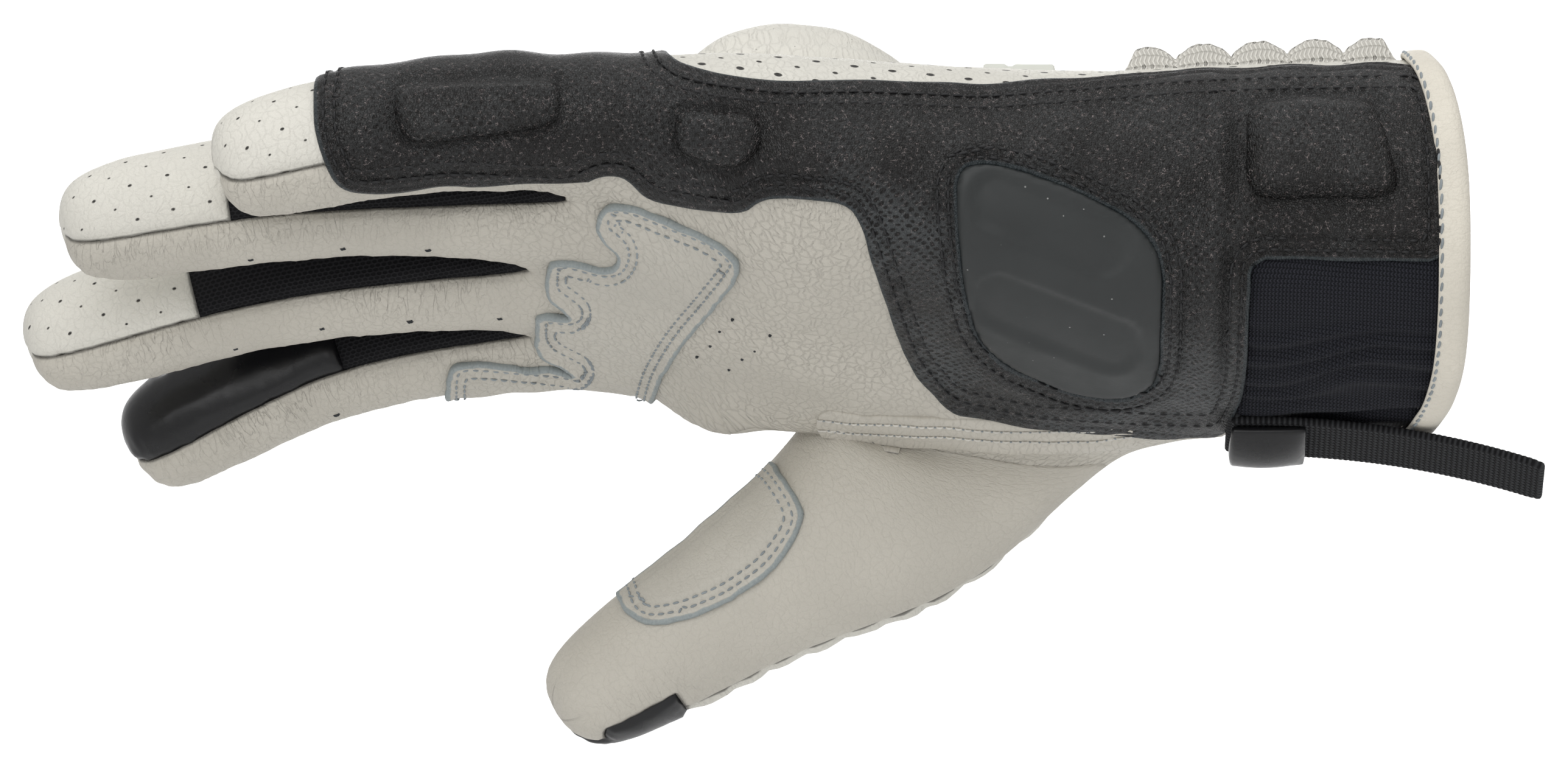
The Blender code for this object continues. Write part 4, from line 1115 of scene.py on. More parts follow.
class Finishes:
    """Every material of the glove, made once."""

    def __init__(self) -> None:
        """Build them."""
        self.palm = GoatLeather("palm_leather_finish", wrinkles=1.0).build()
        self.back = GoatLeather("back_leather_finish", (0.710, 0.690, 0.625), 0.45, 0.75, True).build()
        self.patch = GoatLeather("patch_leather_finish", (0.545, 0.520, 0.460), 0.35, 1.0,
                                 suede_edge=0.5 * MM).build()
        self.binding = GoatLeather("binding_finish", (0.750, 0.705, 0.610), 0.35, 0.30).build()
        self.netted = NettedLeather("netted_leather_finish").build()
        self.touch = PlainFinish("touch_leather_finish", (0.0085, 0.0085, 0.0095), 0.28, 700.0, 0.05 * MM,
                                 specular=0.4).build()
        self.plate = PlainFinish("plate_finish", (0.036, 0.039, 0.039), 0.50, 2600.0, 0.02 * MM, 0.05, 0.5,
                                 0.3).build()
        self.rubber = PlainFinish("rubber_finish", (0.62, 0.63, 0.57), 0.42, 800.0, 0.02 * MM, 0.04).build()
        self.net = Fabric("net_fabric_finish", Weave.NET, (0.005, 0.005, 0.006), (0.020, 0.020, 0.022),
                          1.0 * MM, 0.75 * MM).build()
        self.stretch = Fabric("stretch_fabric_finish", Weave.KNIT, (0.006, 0.007, 0.010),
                              (0.034, 0.035, 0.045), 0.62 * MM, 0.80 * MM).build()
        self.ribs = Fabric("rib_knit_finish", Weave.RIBBED, (0.58, 0.56, 0.51), (0.78, 0.76, 0.70),
                           0.75 * MM, 0.95 * MM).build()
        self.webbing = Fabric("webbing_finish", Weave.KNIT, (0.006, 0.006, 0.007), (0.050, 0.052, 0.055),
                              0.95 * MM, 1.15 * MM).build()
        self.black_thread = PlainFinish("black_thread_finish", (0.016, 0.016, 0.017), 0.50, 4000.0,
                                        specular=0.35).build()
        self.grey_thread = PlainFinish("grey_thread_finish", (0.27, 0.30, 0.315), 0.60, 4000.0).build()
        self.pale_thread = PlainFinish("pale_thread_finish", (0.60, 0.58, 0.53), 0.60, 4000.0).build()
        self.hole = PlainFinish("needle_hole_finish", (0.045, 0.048, 0.052), 0.80, 4000.0,
                                specular=0.1).build()


# Pieces

def make_piece(name: str, sheet: Sheet, material: bpy.types.Material) -> bpy.types.Object:
    """A smooth mesh object from a sheet's arrays, with its flat layout and its point values.

    Args:
        name: the piece's name.
        sheet: its closed surface.
        material: its finish.

    Returns:
        The object, riding on the glove's one body.
    """
    mesh = bpy.data.meshes.new(name)
    corners = sheet.faces.shape[1]
    mesh.vertices.add(len(sheet.points))
    mesh.loops.add(sheet.faces.size)
    mesh.polygons.add(len(sheet.faces))
    mesh.vertices.foreach_set("co", sheet.points.astype(np.float32).ravel())
    mesh.loops.foreach_set("vertex_index", sheet.faces.astype(np.int32).ravel())
    mesh.polygons.foreach_set("loop_start", np.arange(0, sheet.faces.size, corners, dtype=np.int32))
    mesh.update(calc_edges=True)
    layer = mesh.uv_layers.new(name="lay")
    layer.data.foreach_set("uv", sheet.lay[sheet.faces.ravel()].astype(np.float32).ravel())
    fields = {"pebbled": np.ones(len(sheet.points))} | sheet.fields
    for label, values in fields.items():
        stored = mesh.attributes.new(label, "FLOAT", "POINT")
        stored.data.foreach_set("value", values.astype(np.float32))
    mesh.shade_smooth()
    mesh.materials.append(material)
    item = bpy.data.objects.new(name, mesh)
    bpy.context.scene.collection.objects.link(item)
    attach(item, BODY)
    log.info("%s: %d faces", name, len(sheet.faces))
    return item


@dataclass(frozen=True)
class Thread:
    """A row of stitches: the length of one, the distance from one to the next, and its thickness."""

    length: float = 2.0 * MM
    pitch: float = 2.6 * MM
    radius: float = 0.24 * MM
    lift: float = 0.02 * MM
    twist: float = 0.0
    start: float = 0.6
    STRAY: ClassVar[float] = 0.9 * MM

    def along(self, points: Array, normals: Array) -> tuple[Array, Array]:
        """Stitches along a path: each is a slim spindle whose ends dip into the leather.

        The path is measured by its running length, and a spindle is set at every pitch, but not where
        the path jumps: its centre line bends down as the square of the distance from its middle, and
        its radius shrinks towards both ends as a root of what is left.
        """
        steps = np.linalg.norm(np.diff(points, axis=0), axis=1)
        kept = np.concatenate([[True], steps > 1e-6])
        points, normals = points[kept], normals[kept]
        steps = np.linalg.norm(np.diff(points, axis=0), axis=1)
        travel = np.concatenate([[0.0], np.cumsum(steps)])
        centres = np.arange(self.start * self.pitch, travel[-1] - 0.4 * self.pitch, self.pitch)
        if len(centres) == 0:
            return np.zeros((0, 3)), np.zeros((0, 4), dtype=int)
        middle = rows_at(points, travel, centres)
        strays = np.linalg.norm(middle[:, None, :] - points[None, :, :], axis=2).min(axis=1)
        centres = centres[strays < self.STRAY]
        middle = rows_at(points, travel, centres)
        ahead = 0.3 * self.length
        tangent = unit(rows_at(points, travel, centres + ahead) - rows_at(points, travel, centres - ahead))
        normal = unit(rows_at(normals, travel, centres))
        side = unit(np.cross(tangent, normal))
        turn = np.radians(self.twist)
        return self.placed(middle, tangent * np.cos(turn) + side * np.sin(turn), normal)

    def placed(self, middle: Array, tangent: Array, normal: Array) -> tuple[Array, Array]:
        """One spindle at each of the given middles, laid along its tangent."""
        side = unit(np.cross(tangent, normal))
        rings, sides = 7, 6
        share = np.linspace(-1.0, 1.0, rings)
        girth = self.radius * np.maximum(1.0 - share ** 4, 0.05) ** 0.5
        angles = np.linspace(0.0, 2.0 * np.pi, sides, endpoint=False)
        core = (middle[:, None, :] + tangent[:, None, :] * (0.5 * self.length * share)[None, :, None]
                + normal[:, None, :] * (self.lift + self.radius * (0.5 - 1.1 * share ** 2))[None, :, None])
        hoop = (side[:, None, None, :] * (girth[:, None] * np.cos(angles))[None, :, :, None]
                + normal[:, None, None, :] * (girth[:, None] * np.sin(angles))[None, :, :, None])
        vertices = (core[:, :, None, :] + hoop).reshape(-1, 3)
        grid = np.arange(rings * sides).reshape(rings, sides)
        after = np.roll(grid, -1, axis=1)
        quads = np.stack((grid[:-1], after[:-1], after[1:], grid[1:]), axis=-1).reshape(-1, 4)
        start, end = grid[0], grid[-1]
        caps = np.array([[start[0], start[5], start[4], start[1]], [start[1], start[4], start[3], start[2]],
                         [end[0], end[1], end[4], end[5]], [end[1], end[2], end[3], end[4]]])
        quads = np.vstack((quads, caps))
        offsets = (np.arange(len(middle)) * rings * sides)[:, None, None]
        return vertices, (quads[None] + offsets).reshape(-1, 4)


def sew(name: str, rows: Sequence[tuple[Array, Array]], thread: Thread, material: bpy.types.Material,
        slot: str) -> None:
    """One piece made of all the stitches along several paths."""
    joined(name, [thread.along(points, normals) for points, normals in rows if len(points) > 2],
           material, slot)


def near_side(row: tuple[Array, Array]) -> tuple[Array, Array]:
    """The part of a path that faces the little-finger side."""
    points, normals = row
    kept = normals[:, 1] < 0.2
    return points[kept], normals[kept]


def joined(name: str, parts: Sequence[tuple[Array, Array]], material: bpy.types.Material,
           slot: str) -> None:
    """One piece made of several lots of points and faces."""
    vertices, faces, count = [], [], 0
    for part_vertices, part_faces in parts:
        vertices.append(part_vertices)
        faces.append(part_faces + count)
        count += len(part_vertices)
    points = np.vstack(vertices)
    sheet = Sheet(points, np.zeros_like(points), points[:, :2].copy(), np.vstack(faces))
    item = make_piece(name, sheet, material)


class Maker:
    """A group of the glove's pieces, with what they are made from."""

    def __init__(self, hand: FineHand, finishes: Finishes) -> None:
        """Keep the hand, its sizes and the finishes."""
        self.hand = hand
        self.sizes = hand.form.sizes
        self.finishes = finishes


@dataclass(frozen=True)
class Skin:
    """One skin of the glove: the node it stands for, its material slot and how its surface is shaped."""

    name: str
    slot: str
    finish: str
    seam_depth: float = 0.9 * MM
    seam_width: float = 0.9 * MM
    puff: float = 0.25 * MM
    creases: float = 1.0
    joined: str = ""
    hole_size: float = 1.0
    pebbled: float = 1.0


class Skins(Maker):
    """The leather and fabric walls that make up the hand."""

    WALL = 1.3 * MM
    TABLE = (
        Skin("back_leather", "perforated_leather", "back", creases=0.5, joined="cuff_back"),
        Skin("palm_leather", "white_leather", "palm", joined="thumb_leather"),
        Skin("thumb_leather", "white_leather", "palm", creases=0.45, joined="palm_leather", pebbled=0.30),
        Skin("thumb_back", "perforated_leather", "back", creases=0.9, hole_size=0.9, pebbled=0.5),
        Skin("fourchette_little_ring", "black_mesh", "net"),
        Skin("fourchette_ring_middle", "black_mesh", "net"),
        Skin("fourchette_middle_index", "black_mesh", "net"),
        Skin("index_touch_tip", "touch_leather", "touch"),
        Skin("thumb_touch_tip", "touch_leather", "touch"),
        Skin("cuff_back", "perforated_leather", "back", creases=0.3, joined="back_leather"),
        Skin("cuff_gusset", "stretch_fabric", "stretch", 0.5 * MM, 1.5 * MM, 0.0, 0.0),
    )

    def build(self) -> None:
        """Every skin of the table."""
        for skin in self.TABLE:
            self._build_skin(skin)

    def _relief(self, skin: Skin, sheet: Sheet, edge: Array) -> Array:
        """Height of a skin above the hand's surface.

        It sinks towards its seams as a bell curve of the distance from them, gathers there in short
        waves, and carries broad soft ripples everywhere.
        """
        height = np.full(len(sheet.points), skin.puff)
        hollow = bell(edge, 0.0, skin.seam_width)
        gather = 0.5 + 0.5 * ripples(sheet.lay, 3.4 * MM, 11)
        height -= skin.seam_depth * hollow * (0.75 + 0.25 * gather)
        reach = bell(edge, 0.0, 4.0 * MM) * smooth_step(edge, 0.2 * MM, 1.2 * MM)
        height += skin.creases * 0.10 * MM * reach * ripples(sheet.lay, 3.2 * MM, 12, (2.0, 0.5, 1.0))
        height += skin.creases * 0.12 * MM * ripples(sheet.points, 9.0 * MM, 13)
        if skin.name == "cuff_gusset":
            height += self._shirring(sheet)
        if skin.name == "palm_leather":
            height += self._palm_folds(sheet)
        if skin.name == "thumb_back":
            swayed = sheet.lay[:, 0] + 0.8 * MM * ripples(sheet.lay, 20 * MM, 18)
            pucker = np.abs(np.sin(np.pi * swayed / (7 * MM)))
            height += (0.9 * MM * pucker ** 0.7 - 0.45 * MM) * bell(edge, 0.0, 7 * MM)
        return height

    @staticmethod
    def _shirring(sheet: Sheet) -> Array:
        """Elastic ribs along the lower half of the gusset: waves down the height that sway along it."""
        along, up = sheet.points[:, 0], sheet.points[:, 2]
        lower = smooth_step(up, -10 * MM, -18 * MM)
        sway = 1.2 * MM * np.sin(along / (7.5 * MM)) + 0.5 * MM * ripples(sheet.points, 16 * MM, 21)
        return 0.62 * MM * lower * np.sin(2.0 * np.pi * (up + sway) / (3.1 * MM))

    @staticmethod
    def _palm_folds(sheet: Sheet) -> Array:
        """Cross folds on the finger fronts and at their roots, where the hand bends."""
        along = sheet.lay[:, 0]
        roots = bell(along, 152 * MM, 9 * MM)
        warp = 1.6 * MM * ripples(sheet.lay, 14 * MM, 31)
        folds = -np.abs(np.sin(np.pi * (along + warp) / (5.2 * MM))) ** 0.5
        return 0.35 * MM * roots * (folds + 0.6)

    def _build_skin(self, skin: Skin) -> None:
        """One skin as a closed wall."""
        hand = self.hand
        own = hand.pieces == skin.name
        sheet = hand.sheet(own)
        shared = np.isin(np.unique(hand.faces[own]), np.unique(hand.faces[hand.pieces == skin.joined]))
        edge = sheet.rim_distance(passed_over=shared)
        near_seam = 0.22 + 0.78 * bell(edge, 1.5 * MM, 4.5 * MM)
        patchy = 0.62 + 0.38 * ripples(sheet.points, 26 * MM, 17)
        on_finger = smooth_step(-sheet.points[:, 0], 150 * MM, 165 * MM)
        sheet.mark(edge=edge, crease=np.clip(skin.creases * near_seam * patchy, 0.0, 1.0),
                   hole_size=skin.hole_size * (1.0 - 0.55 * on_finger),
                   pebbled=skin.pebbled * (1.0 - 0.45 * on_finger))
        shaped = sheet.raised(self._relief(skin, sheet, edge))
        wall = solid(shaped, 0.0, -self.WALL, 2, 0.15)
        item = make_piece(skin.name + "_skin", wall, getattr(self.finishes, skin.finish))
        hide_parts(skin.name)


EDGE_OUTLINE = (
    (-0.787, 0.45), (-0.786, 0.30), (-0.776, 0.20), (-0.768, 0.160), (-0.754, 0.150), (-0.694, 0.175),
    (-0.610, 0.160), (-0.598, 0.193), (-0.582, 0.204), (-0.571, 0.189), (-0.559, 0.141), (-0.537, 0.121),
    (-0.494, 0.093), (-0.484, 0.131), (-0.470, 0.143), (-0.422, 0.121), (-0.413, 0.064), (-0.398, -0.120),
    (-0.379, -0.323), (-0.352, -0.446), (-0.293, -0.497), (-0.208, -0.517), (-0.161, -0.520),
    (-0.149, -0.395), (-0.147, -0.030), (-0.012, -0.040), (-0.012, 0.199), (-0.015, 0.392),
    (-0.025, 0.495), (-0.142, 0.487), (-0.196, 0.476), (-0.250, 0.458), (-0.331, 0.433), (-0.358, 0.439),
    (-0.412, 0.448), (-0.466, 0.443), (-0.493, 0.455), (-0.520, 0.470), (-0.545, 0.500), (-0.56, 0.62),
    (-0.775, 0.62),
)
SLIDER_OUTLINE = (
    (-0.348, 0.199), (-0.334, 0.222), (-0.307, 0.204), (-0.269, 0.150), (-0.230, 0.072), (-0.214, 0.012),
    (-0.208, -0.060), (-0.208, -0.328), (-0.214, -0.379), (-0.235, -0.404), (-0.268, -0.387),
    (-0.310, -0.315), (-0.331, -0.246), (-0.341, -0.120), (-0.347, 0.064),
)
LONG_PAD_OUTLINE = (
    (-0.733, 0.429), (-0.717, 0.443), (-0.628, 0.456), (-0.619, 0.438), (-0.619, 0.354), (-0.627, 0.325),
    (-0.712, 0.281), (-0.724, 0.286), (-0.731, 0.345),
)
SHORT_PAD_OUTLINE = (
    (-0.540, 0.362), (-0.532, 0.372), (-0.492, 0.362), (-0.482, 0.337), (-0.482, 0.278), (-0.492, 0.227),
    (-0.505, 0.209), (-0.532, 0.244), (-0.540, 0.278),
)
CUFF_PAD_OUTLINE = (
    (-0.149, 0.345), (-0.145, 0.392), (-0.117, 0.412), (-0.063, 0.404), (-0.057, 0.345), (-0.046, 0.177),
    (-0.050, 0.135), (-0.142, 0.130), (-0.150, 0.177),
)
PALM_PATCH_OUTLINE = (
    (-0.594, 0.088), (-0.586, 0.121), (-0.572, 0.120), (-0.546, 0.076), (-0.516, 0.029), (-0.502, -0.012),
    (-0.495, -0.049), (-0.500, -0.089), (-0.518, -0.177), (-0.536, -0.258), (-0.548, -0.330),
    (-0.556, -0.396), (-0.562, -0.520), (-0.702, -0.520), (-0.702, -0.396), (-0.700, -0.338),
    (-0.692, -0.315), (-0.676, -0.317), (-0.616, -0.338), (-0.608, -0.352), (-0.638, -0.291),
    (-0.638, -0.202), (-0.635, -0.177), (-0.609, -0.194), (-0.618, -0.162), (-0.630, -0.133),
    (-0.629, -0.064), (-0.626, -0.032), (-0.616, -0.029), (-0.586, -0.064), (-0.579, -0.040),
    (-0.580, 0.000), (-0.593, 0.029),
)
THUMB_PATCH_OUTLINE = (
    (-0.582, -0.955), (-0.577, -1.020), (-0.563, -1.057), (-0.537, -1.042), (-0.504, -0.988),
    (-0.474, -0.901), (-0.455, -0.793), (-0.453, -0.732), (-0.465, -0.648), (-0.477, -0.590),
    (-0.505, -0.560), (-0.540, -0.620), (-0.600, -0.80),
)


class EdgePanel(Maker):
    """The black panel down the little finger and the edge of the hand, its pads and its slider plate."""

    LEATHER = 1.0 * MM
    FOLD_ALONG = -0.163

    def __init__(self, hand: FineHand, finishes: Finishes) -> None:
        """Read the outlines."""
        super().__init__(hand, finishes)
        sizes = self.sizes
        self.outline = Outline(EDGE_OUTLINE, sizes)
        self.slider = Outline(SLIDER_OUTLINE, sizes)
        self.pads = {
            "finger_pad_long": (Outline(LONG_PAD_OUTLINE, sizes), 2.2 * MM, 2.4 * MM),
            "finger_pad_short": (Outline(SHORT_PAD_OUTLINE, sizes), 2.0 * MM, 2.2 * MM),
            "cuff_pad": (Outline(CUFF_PAD_OUTLINE, sizes), 2.9 * MM, 3.4 * MM),
        }

    def _near_faces(self) -> Array:
        """Faces on the outer side of the little finger and of the hand."""
        hand = self.hand
        chosen = hand.zone(Region.FINGER, 0, range(len(FINGER_RINGS)), (0, 5, 6, 7))
        chosen |= hand.zone(Region.PALM, None, None, (0, 12, 13, 14, 15, 16, 17, 18, 19))
        chosen |= hand.zone(Region.PALM, None, range(2, 7), (1,))
        return chosen

    def _surface(self, sheet: Sheet) -> Array:
        """Height of the panel's outer face above the hand.

        It rises a little towards the slider and is sunk round the pads. The cuff's fold is a groove
        between two rounded ridges. Painted shadow is marked along the stitch rows, in the fold's groove and
        round the pads, and so is where the net shows.
        """
        along, up = sheet.points[:, 0], sheet.points[:, 2]
        height = 0.35 * MM + 0.25 * MM * ripples(sheet.points, 12 * MM, 41)
        around_slider, _ = self.slider.measure(sheet.points)
        height += 0.45 * MM * smooth_step(around_slider, -5.0 * MM, -3.5 * MM)
        near_plate = smooth_step(along, -128 * MM, -104 * MM) * smooth_step(-along, 46 * MM, 66 * MM)
        below = smooth_step(-up, 10 * MM, 22 * MM) * smooth_step(along, -128 * MM, -104 * MM)
        netted = 0.28 + 0.72 * np.maximum(near_plate * smooth_step(-up, -16 * MM, -2 * MM), below)
        edge = sheet.fields["edge"]
        shadow = 0.5 * bell(edge, 1.3 * MM, 0.35 * MM)
        shadow += 0.5 * bell(edge, 3.2 * MM, 0.35 * MM)
        fold = self.FOLD_ALONG * self.sizes.reach + 0.8 * MM * np.sin(up / (9 * MM))
        from_fold = along - fold
        depth = smooth_step(up, -26 * MM, -14 * MM) * smooth_step(-up, -30 * MM, -22 * MM)
        height += depth * 1.7 * MM * bell(from_fold, -2.3 * MM, 1.6 * MM)
        height += depth * 0.8 * MM * bell(from_fold, 1.9 * MM, 1.2 * MM)
        height -= depth * 0.55 * MM * bell(from_fold, 0.0, 0.8 * MM)
        shadow = np.maximum(shadow, depth * bell(from_fold, 0.0, 0.60 * MM))
        for outline, _, _ in self.pads.values():
            inside, _ = outline.measure(sheet.points)
            height -= 0.45 * MM * bell(inside, -0.5 * MM, 0.8 * MM)
            shadow = np.maximum(shadow, 0.7 * bell(inside, -0.35 * MM, 0.5 * MM))
        sheet.mark(netted=netted, shadow=shadow)
        return height

    def build(self) -> None:
        """The panel, its stitches, the pads and the plate."""
        hand = self.hand
        sheet = hand.sheet(self._near_faces(), "edge_lay")
        inside, _ = self.outline.measure(sheet.points)
        sheet = sheet.cut(inside)
        around, _ = self.slider.measure(sheet.points)
        self._build_gap_shade(sheet.cut(around + 1.5 * MM))
        filled = sheet.cut(around + 0.1 * MM)
        sheet = sheet.cut(-around - 0.3 * MM)
        edge = sheet.rim_distance()
        sheet.mark(edge=edge)
        rise = self._surface(sheet) + self.LEATHER * 0.9
        shaped = sheet.raised(rise)
        drop = 0.35 * MM * bell(edge, 0.0, 0.5 * MM)
        stitched = -0.30 * MM * (bell(edge, 1.3 * MM, 0.5 * MM)
                                 + bell(edge, 3.2 * MM, 0.5 * MM))
        wall = solid(shaped, stitched - drop, -rise - 0.4 * MM, 4, 0.4)
        panel = make_piece("edge_panel_leather", wall, self.finishes.netted)
        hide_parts("edge_panel")
        self._sew(shaped)
        for name, (outline, rise, shoulder) in self.pads.items():
            self._build_pad(name, outline, rise, shoulder, shaped)
        self._build_plate(filled)

    def _build_gap_shade(self, sheet: Sheet) -> None:
        """A dark layer of painted shade that shows in the narrow gap round the plate."""
        sheet.mark(shadow=1.0)
        wall = solid(sheet, 0.7 * MM, -0.3 * MM, 2, 0.1)
        make_piece("slider_gap_shade", wall, self.finishes.netted)

    def _sew(self, sheet: Sheet) -> None:
        """Two rows inside the panel's edge and two round the plate."""
        inside, place = self.outline.measure(sheet.points)
        rows = [sheet.line(inside, 1.3 * MM, place), sheet.line(inside, 3.2 * MM, place)]
        around, turn = self.slider.measure(sheet.points)
        rows.append(sheet.line(around, -1.6 * MM, turn))
        rows.append(sheet.line(around, -3.4 * MM, turn))
        sew("edge_panel_stitches", [near_side(row) for row in rows],
            Thread(1.7 * MM, 2.2 * MM, 0.26 * MM, -0.12 * MM), self.finishes.black_thread, "black_leather")

    def _build_pad(self, name: str, outline: Outline, rise: float, shoulder: float, panel: Sheet) -> None:
        """A raised block under the panel's leather: full height inside, falling over its shoulder."""
        inside, _ = outline.measure(panel.points)
        sheet = panel.cut(inside + 0.3 * MM)
        inside, _ = outline.measure(sheet.points)
        climb = np.clip((inside + 0.3 * MM) / shoulder, 0.0, 1.0)
        height = -0.15 * MM + rise * np.sin(0.5 * np.pi * climb) ** 1.3
        height += 0.12 * MM * ripples(sheet.points, 7 * MM, 51)
        sheet.lay = sheet.points[:, [0, 2]] * (-1.0, 1.0)
        sheet.mark(edge=inside + 5 * MM)
        wall = solid(sheet, height, -0.6 * MM, 2, 0.1)
        item = make_piece(name + "_cover", wall, self.finishes.netted)
        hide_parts(name)

    def _build_plate(self, sheet: Sheet) -> None:
        """The grey plate: a rounded edge, a slight crown and two sunken sloping grooves."""
        inside, _ = self.slider.measure(sheet.points)
        shoulder = np.clip((inside + 0.1 * MM) / (1.0 * MM), 0.0, 1.0)
        height = 1.2 * MM + 0.7 * MM * np.sqrt(1.0 - (1.0 - shoulder) ** 2)
        height += 0.7 * MM * smooth_step(inside, 0.5 * MM, 8 * MM)
        height -= self._grooves(sheet.points)
        wall = solid(sheet, height, -0.2 * MM, 4, 0.05)
        item = make_piece("slider_plate", wall, self.finishes.plate)
        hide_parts("edge_slider")

    def _grooves(self, points: Array) -> Array:
        """Depth of the plate's sunken strokes: flat-bottomed troughs round sloping middle lines."""
        scale = (self.sizes.reach, self.sizes.cuff_depth)
        depth = np.zeros(len(points))
        strokes = (((-0.322, 0.125), (-0.247, 0.005)), ((-0.318, -0.125), (-0.238, -0.245)))
        for start, end in strokes:
            a, b = np.array(start) * scale, np.array(end) * scale
            share = np.clip((points[:, [0, 2]] - a) @ (b - a) / np.sum((b - a) ** 2), 0.0, 1.0)
            gap = np.linalg.norm(points[:, [0, 2]] - a - share[:, None] * (b - a), axis=1)
            depth = np.maximum(depth, 1.0 * MM * smooth_step(-gap, -5.0 * MM, -3.4 * MM))
        return depth


class Patches(Maker):
    """Reinforcements with raw suede edges: across the palm's front and over the thumb's web."""

    LEATHER = 1.0 * MM

    def build(self) -> None:
        """Both patches with their stitches."""
        hand = self.hand
        palm = hand.zone(Region.PALM, None, (0, 1, 2), range(10, 18))
        for finger in (1, 2, 3):
            palm |= hand.zone(Region.FINGER, finger, (0, 1), (4, 5))
        thumb = hand.zone(Region.THUMB, None, (0, 1, 2), (11, 0, 1, 2, 3))
        self._build_patch("palm_patch", PALM_PATCH_OUTLINE, palm, 61)
        self._build_patch("thumb_patch", THUMB_PATCH_OUTLINE, thumb, 62)

    def _build_patch(self, name: str, corners: Sequence[tuple[float, float]], chosen: Array,
                     seed: int) -> None:
        """A patch of leather that lies on the skin, thicker than it at its raw edge."""
        outline = Outline(corners, self.sizes)
        sheet = self.hand.sheet(chosen)
        wobble = 0.12 * MM * ripples(sheet.points, 4 * MM, seed)
        sheet = sheet.cut(outline.measure(sheet.points)[0] + wobble)
        edge = sheet.rim_distance()
        sheet.mark(edge=edge, crease=0.35, pebbled=0.65 if name == "palm_patch" else 0.25)
        height = 0.25 * MM + self.LEATHER + 0.14 * MM * ripples(sheet.points, 7 * MM, seed + 5)
        height += 0.15 * MM * smooth_step(edge, 0.0, 4 * MM)
        shaped = sheet.raised(height)
        sunk = -0.28 * MM * (bell(edge, 1.6 * MM, 0.45 * MM)
                             + bell(edge, 3.0 * MM, 0.45 * MM))
        wall = solid(shaped, sunk, -self.LEATHER - 0.45 * MM, 4, 0.5)
        item = make_piece(name + "_leather", wall, self.finishes.patch)
        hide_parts(name)
        inside, place = outline.measure(shaped.points)
        rows = [near_side(shaped.line(inside, level, place)) for level in (1.6 * MM, 3.0 * MM)]
        sew(name + "_stitches", rows, Thread(1.25 * MM, 1.75 * MM, 0.20 * MM, -0.12 * MM),
            self.finishes.grey_thread, "patch_leather")


def dropped(points: Array, direction: Array, target: Sheet) -> Array:
    """Where lines from the points along a direction meet a sheet, found by a Shrinkwrap modifier."""
    turn = Vector(-direction).to_track_quat("Z", "Y").to_matrix().to_4x4()
    turned = np.array(turn.to_3x3())
    mesh = bpy.data.meshes.new("target")
    mesh.from_pydata(target.points, [], target.faces)
    ground = bpy.data.objects.new("target", mesh)
    bpy.context.scene.collection.objects.link(ground)
    cloud = bpy.data.meshes.new("cloud")
    cloud.from_pydata((points @ turned), [], [])
    item = bpy.data.objects.new("cloud", cloud)
    item.matrix_world = turn
    bpy.context.scene.collection.objects.link(item)
    wrap = item.modifiers.new("drop", "SHRINKWRAP")
    wrap.target = ground
    wrap.wrap_method = "PROJECT"
    wrap.use_project_z = True
    wrap.use_negative_direction = True
    wrap.use_positive_direction = False
    bpy.context.view_layer.update()
    fallen = item.evaluated_get(bpy.context.evaluated_depsgraph_get()).to_mesh()
    flat = np.empty(len(fallen.vertices) * 3)
    fallen.vertices.foreach_get("co", flat)
    for gone in (item, ground):
        bpy.data.objects.remove(gone, do_unlink=True)
    return flat.reshape(-1, 3) @ turned.T


SEAM_FREE_EDGE = (
    (-0.2229, -0.5369), (-0.2502, -0.5560), (-0.3118, -0.5580), (-0.3587, -0.5430), (-0.3994, -0.5370),
    (-0.4249, -0.5320), (-0.4420, -0.5250),
)
SEAM_UPPER_EDGE = (
    (-0.4421, -0.4460), (-0.4077, -0.4629), (-0.3587, -0.4713), (-0.3097, -0.4746), (-0.2669, -0.4881),
    (-0.2242, -0.4797),
)
ABOVE_SEAM = ((-1.5, -0.5390), (-1.5, 3.0), (0.5, 3.0), (0.5, -0.5369))
PALM_HOLES = (
    (-0.5016, -0.1986), (-0.5104, -0.2306), (-0.5171, -0.2710), (-0.5264, -0.3013), (-0.4756, -0.2424),
    (-0.4861, -0.2844), (-0.4949, -0.3080), (-0.5041, -0.3366),
)
FRONT_TACKS = (
    (-0.8339, -0.0320), (-0.7702, -0.0020), (-0.7116, -0.0060), (-0.8473, -0.2780), (-0.7870, -0.2220),
    (-0.7258, -0.2030), (-0.6634, -0.1940), (-0.7794, -0.4640),
)


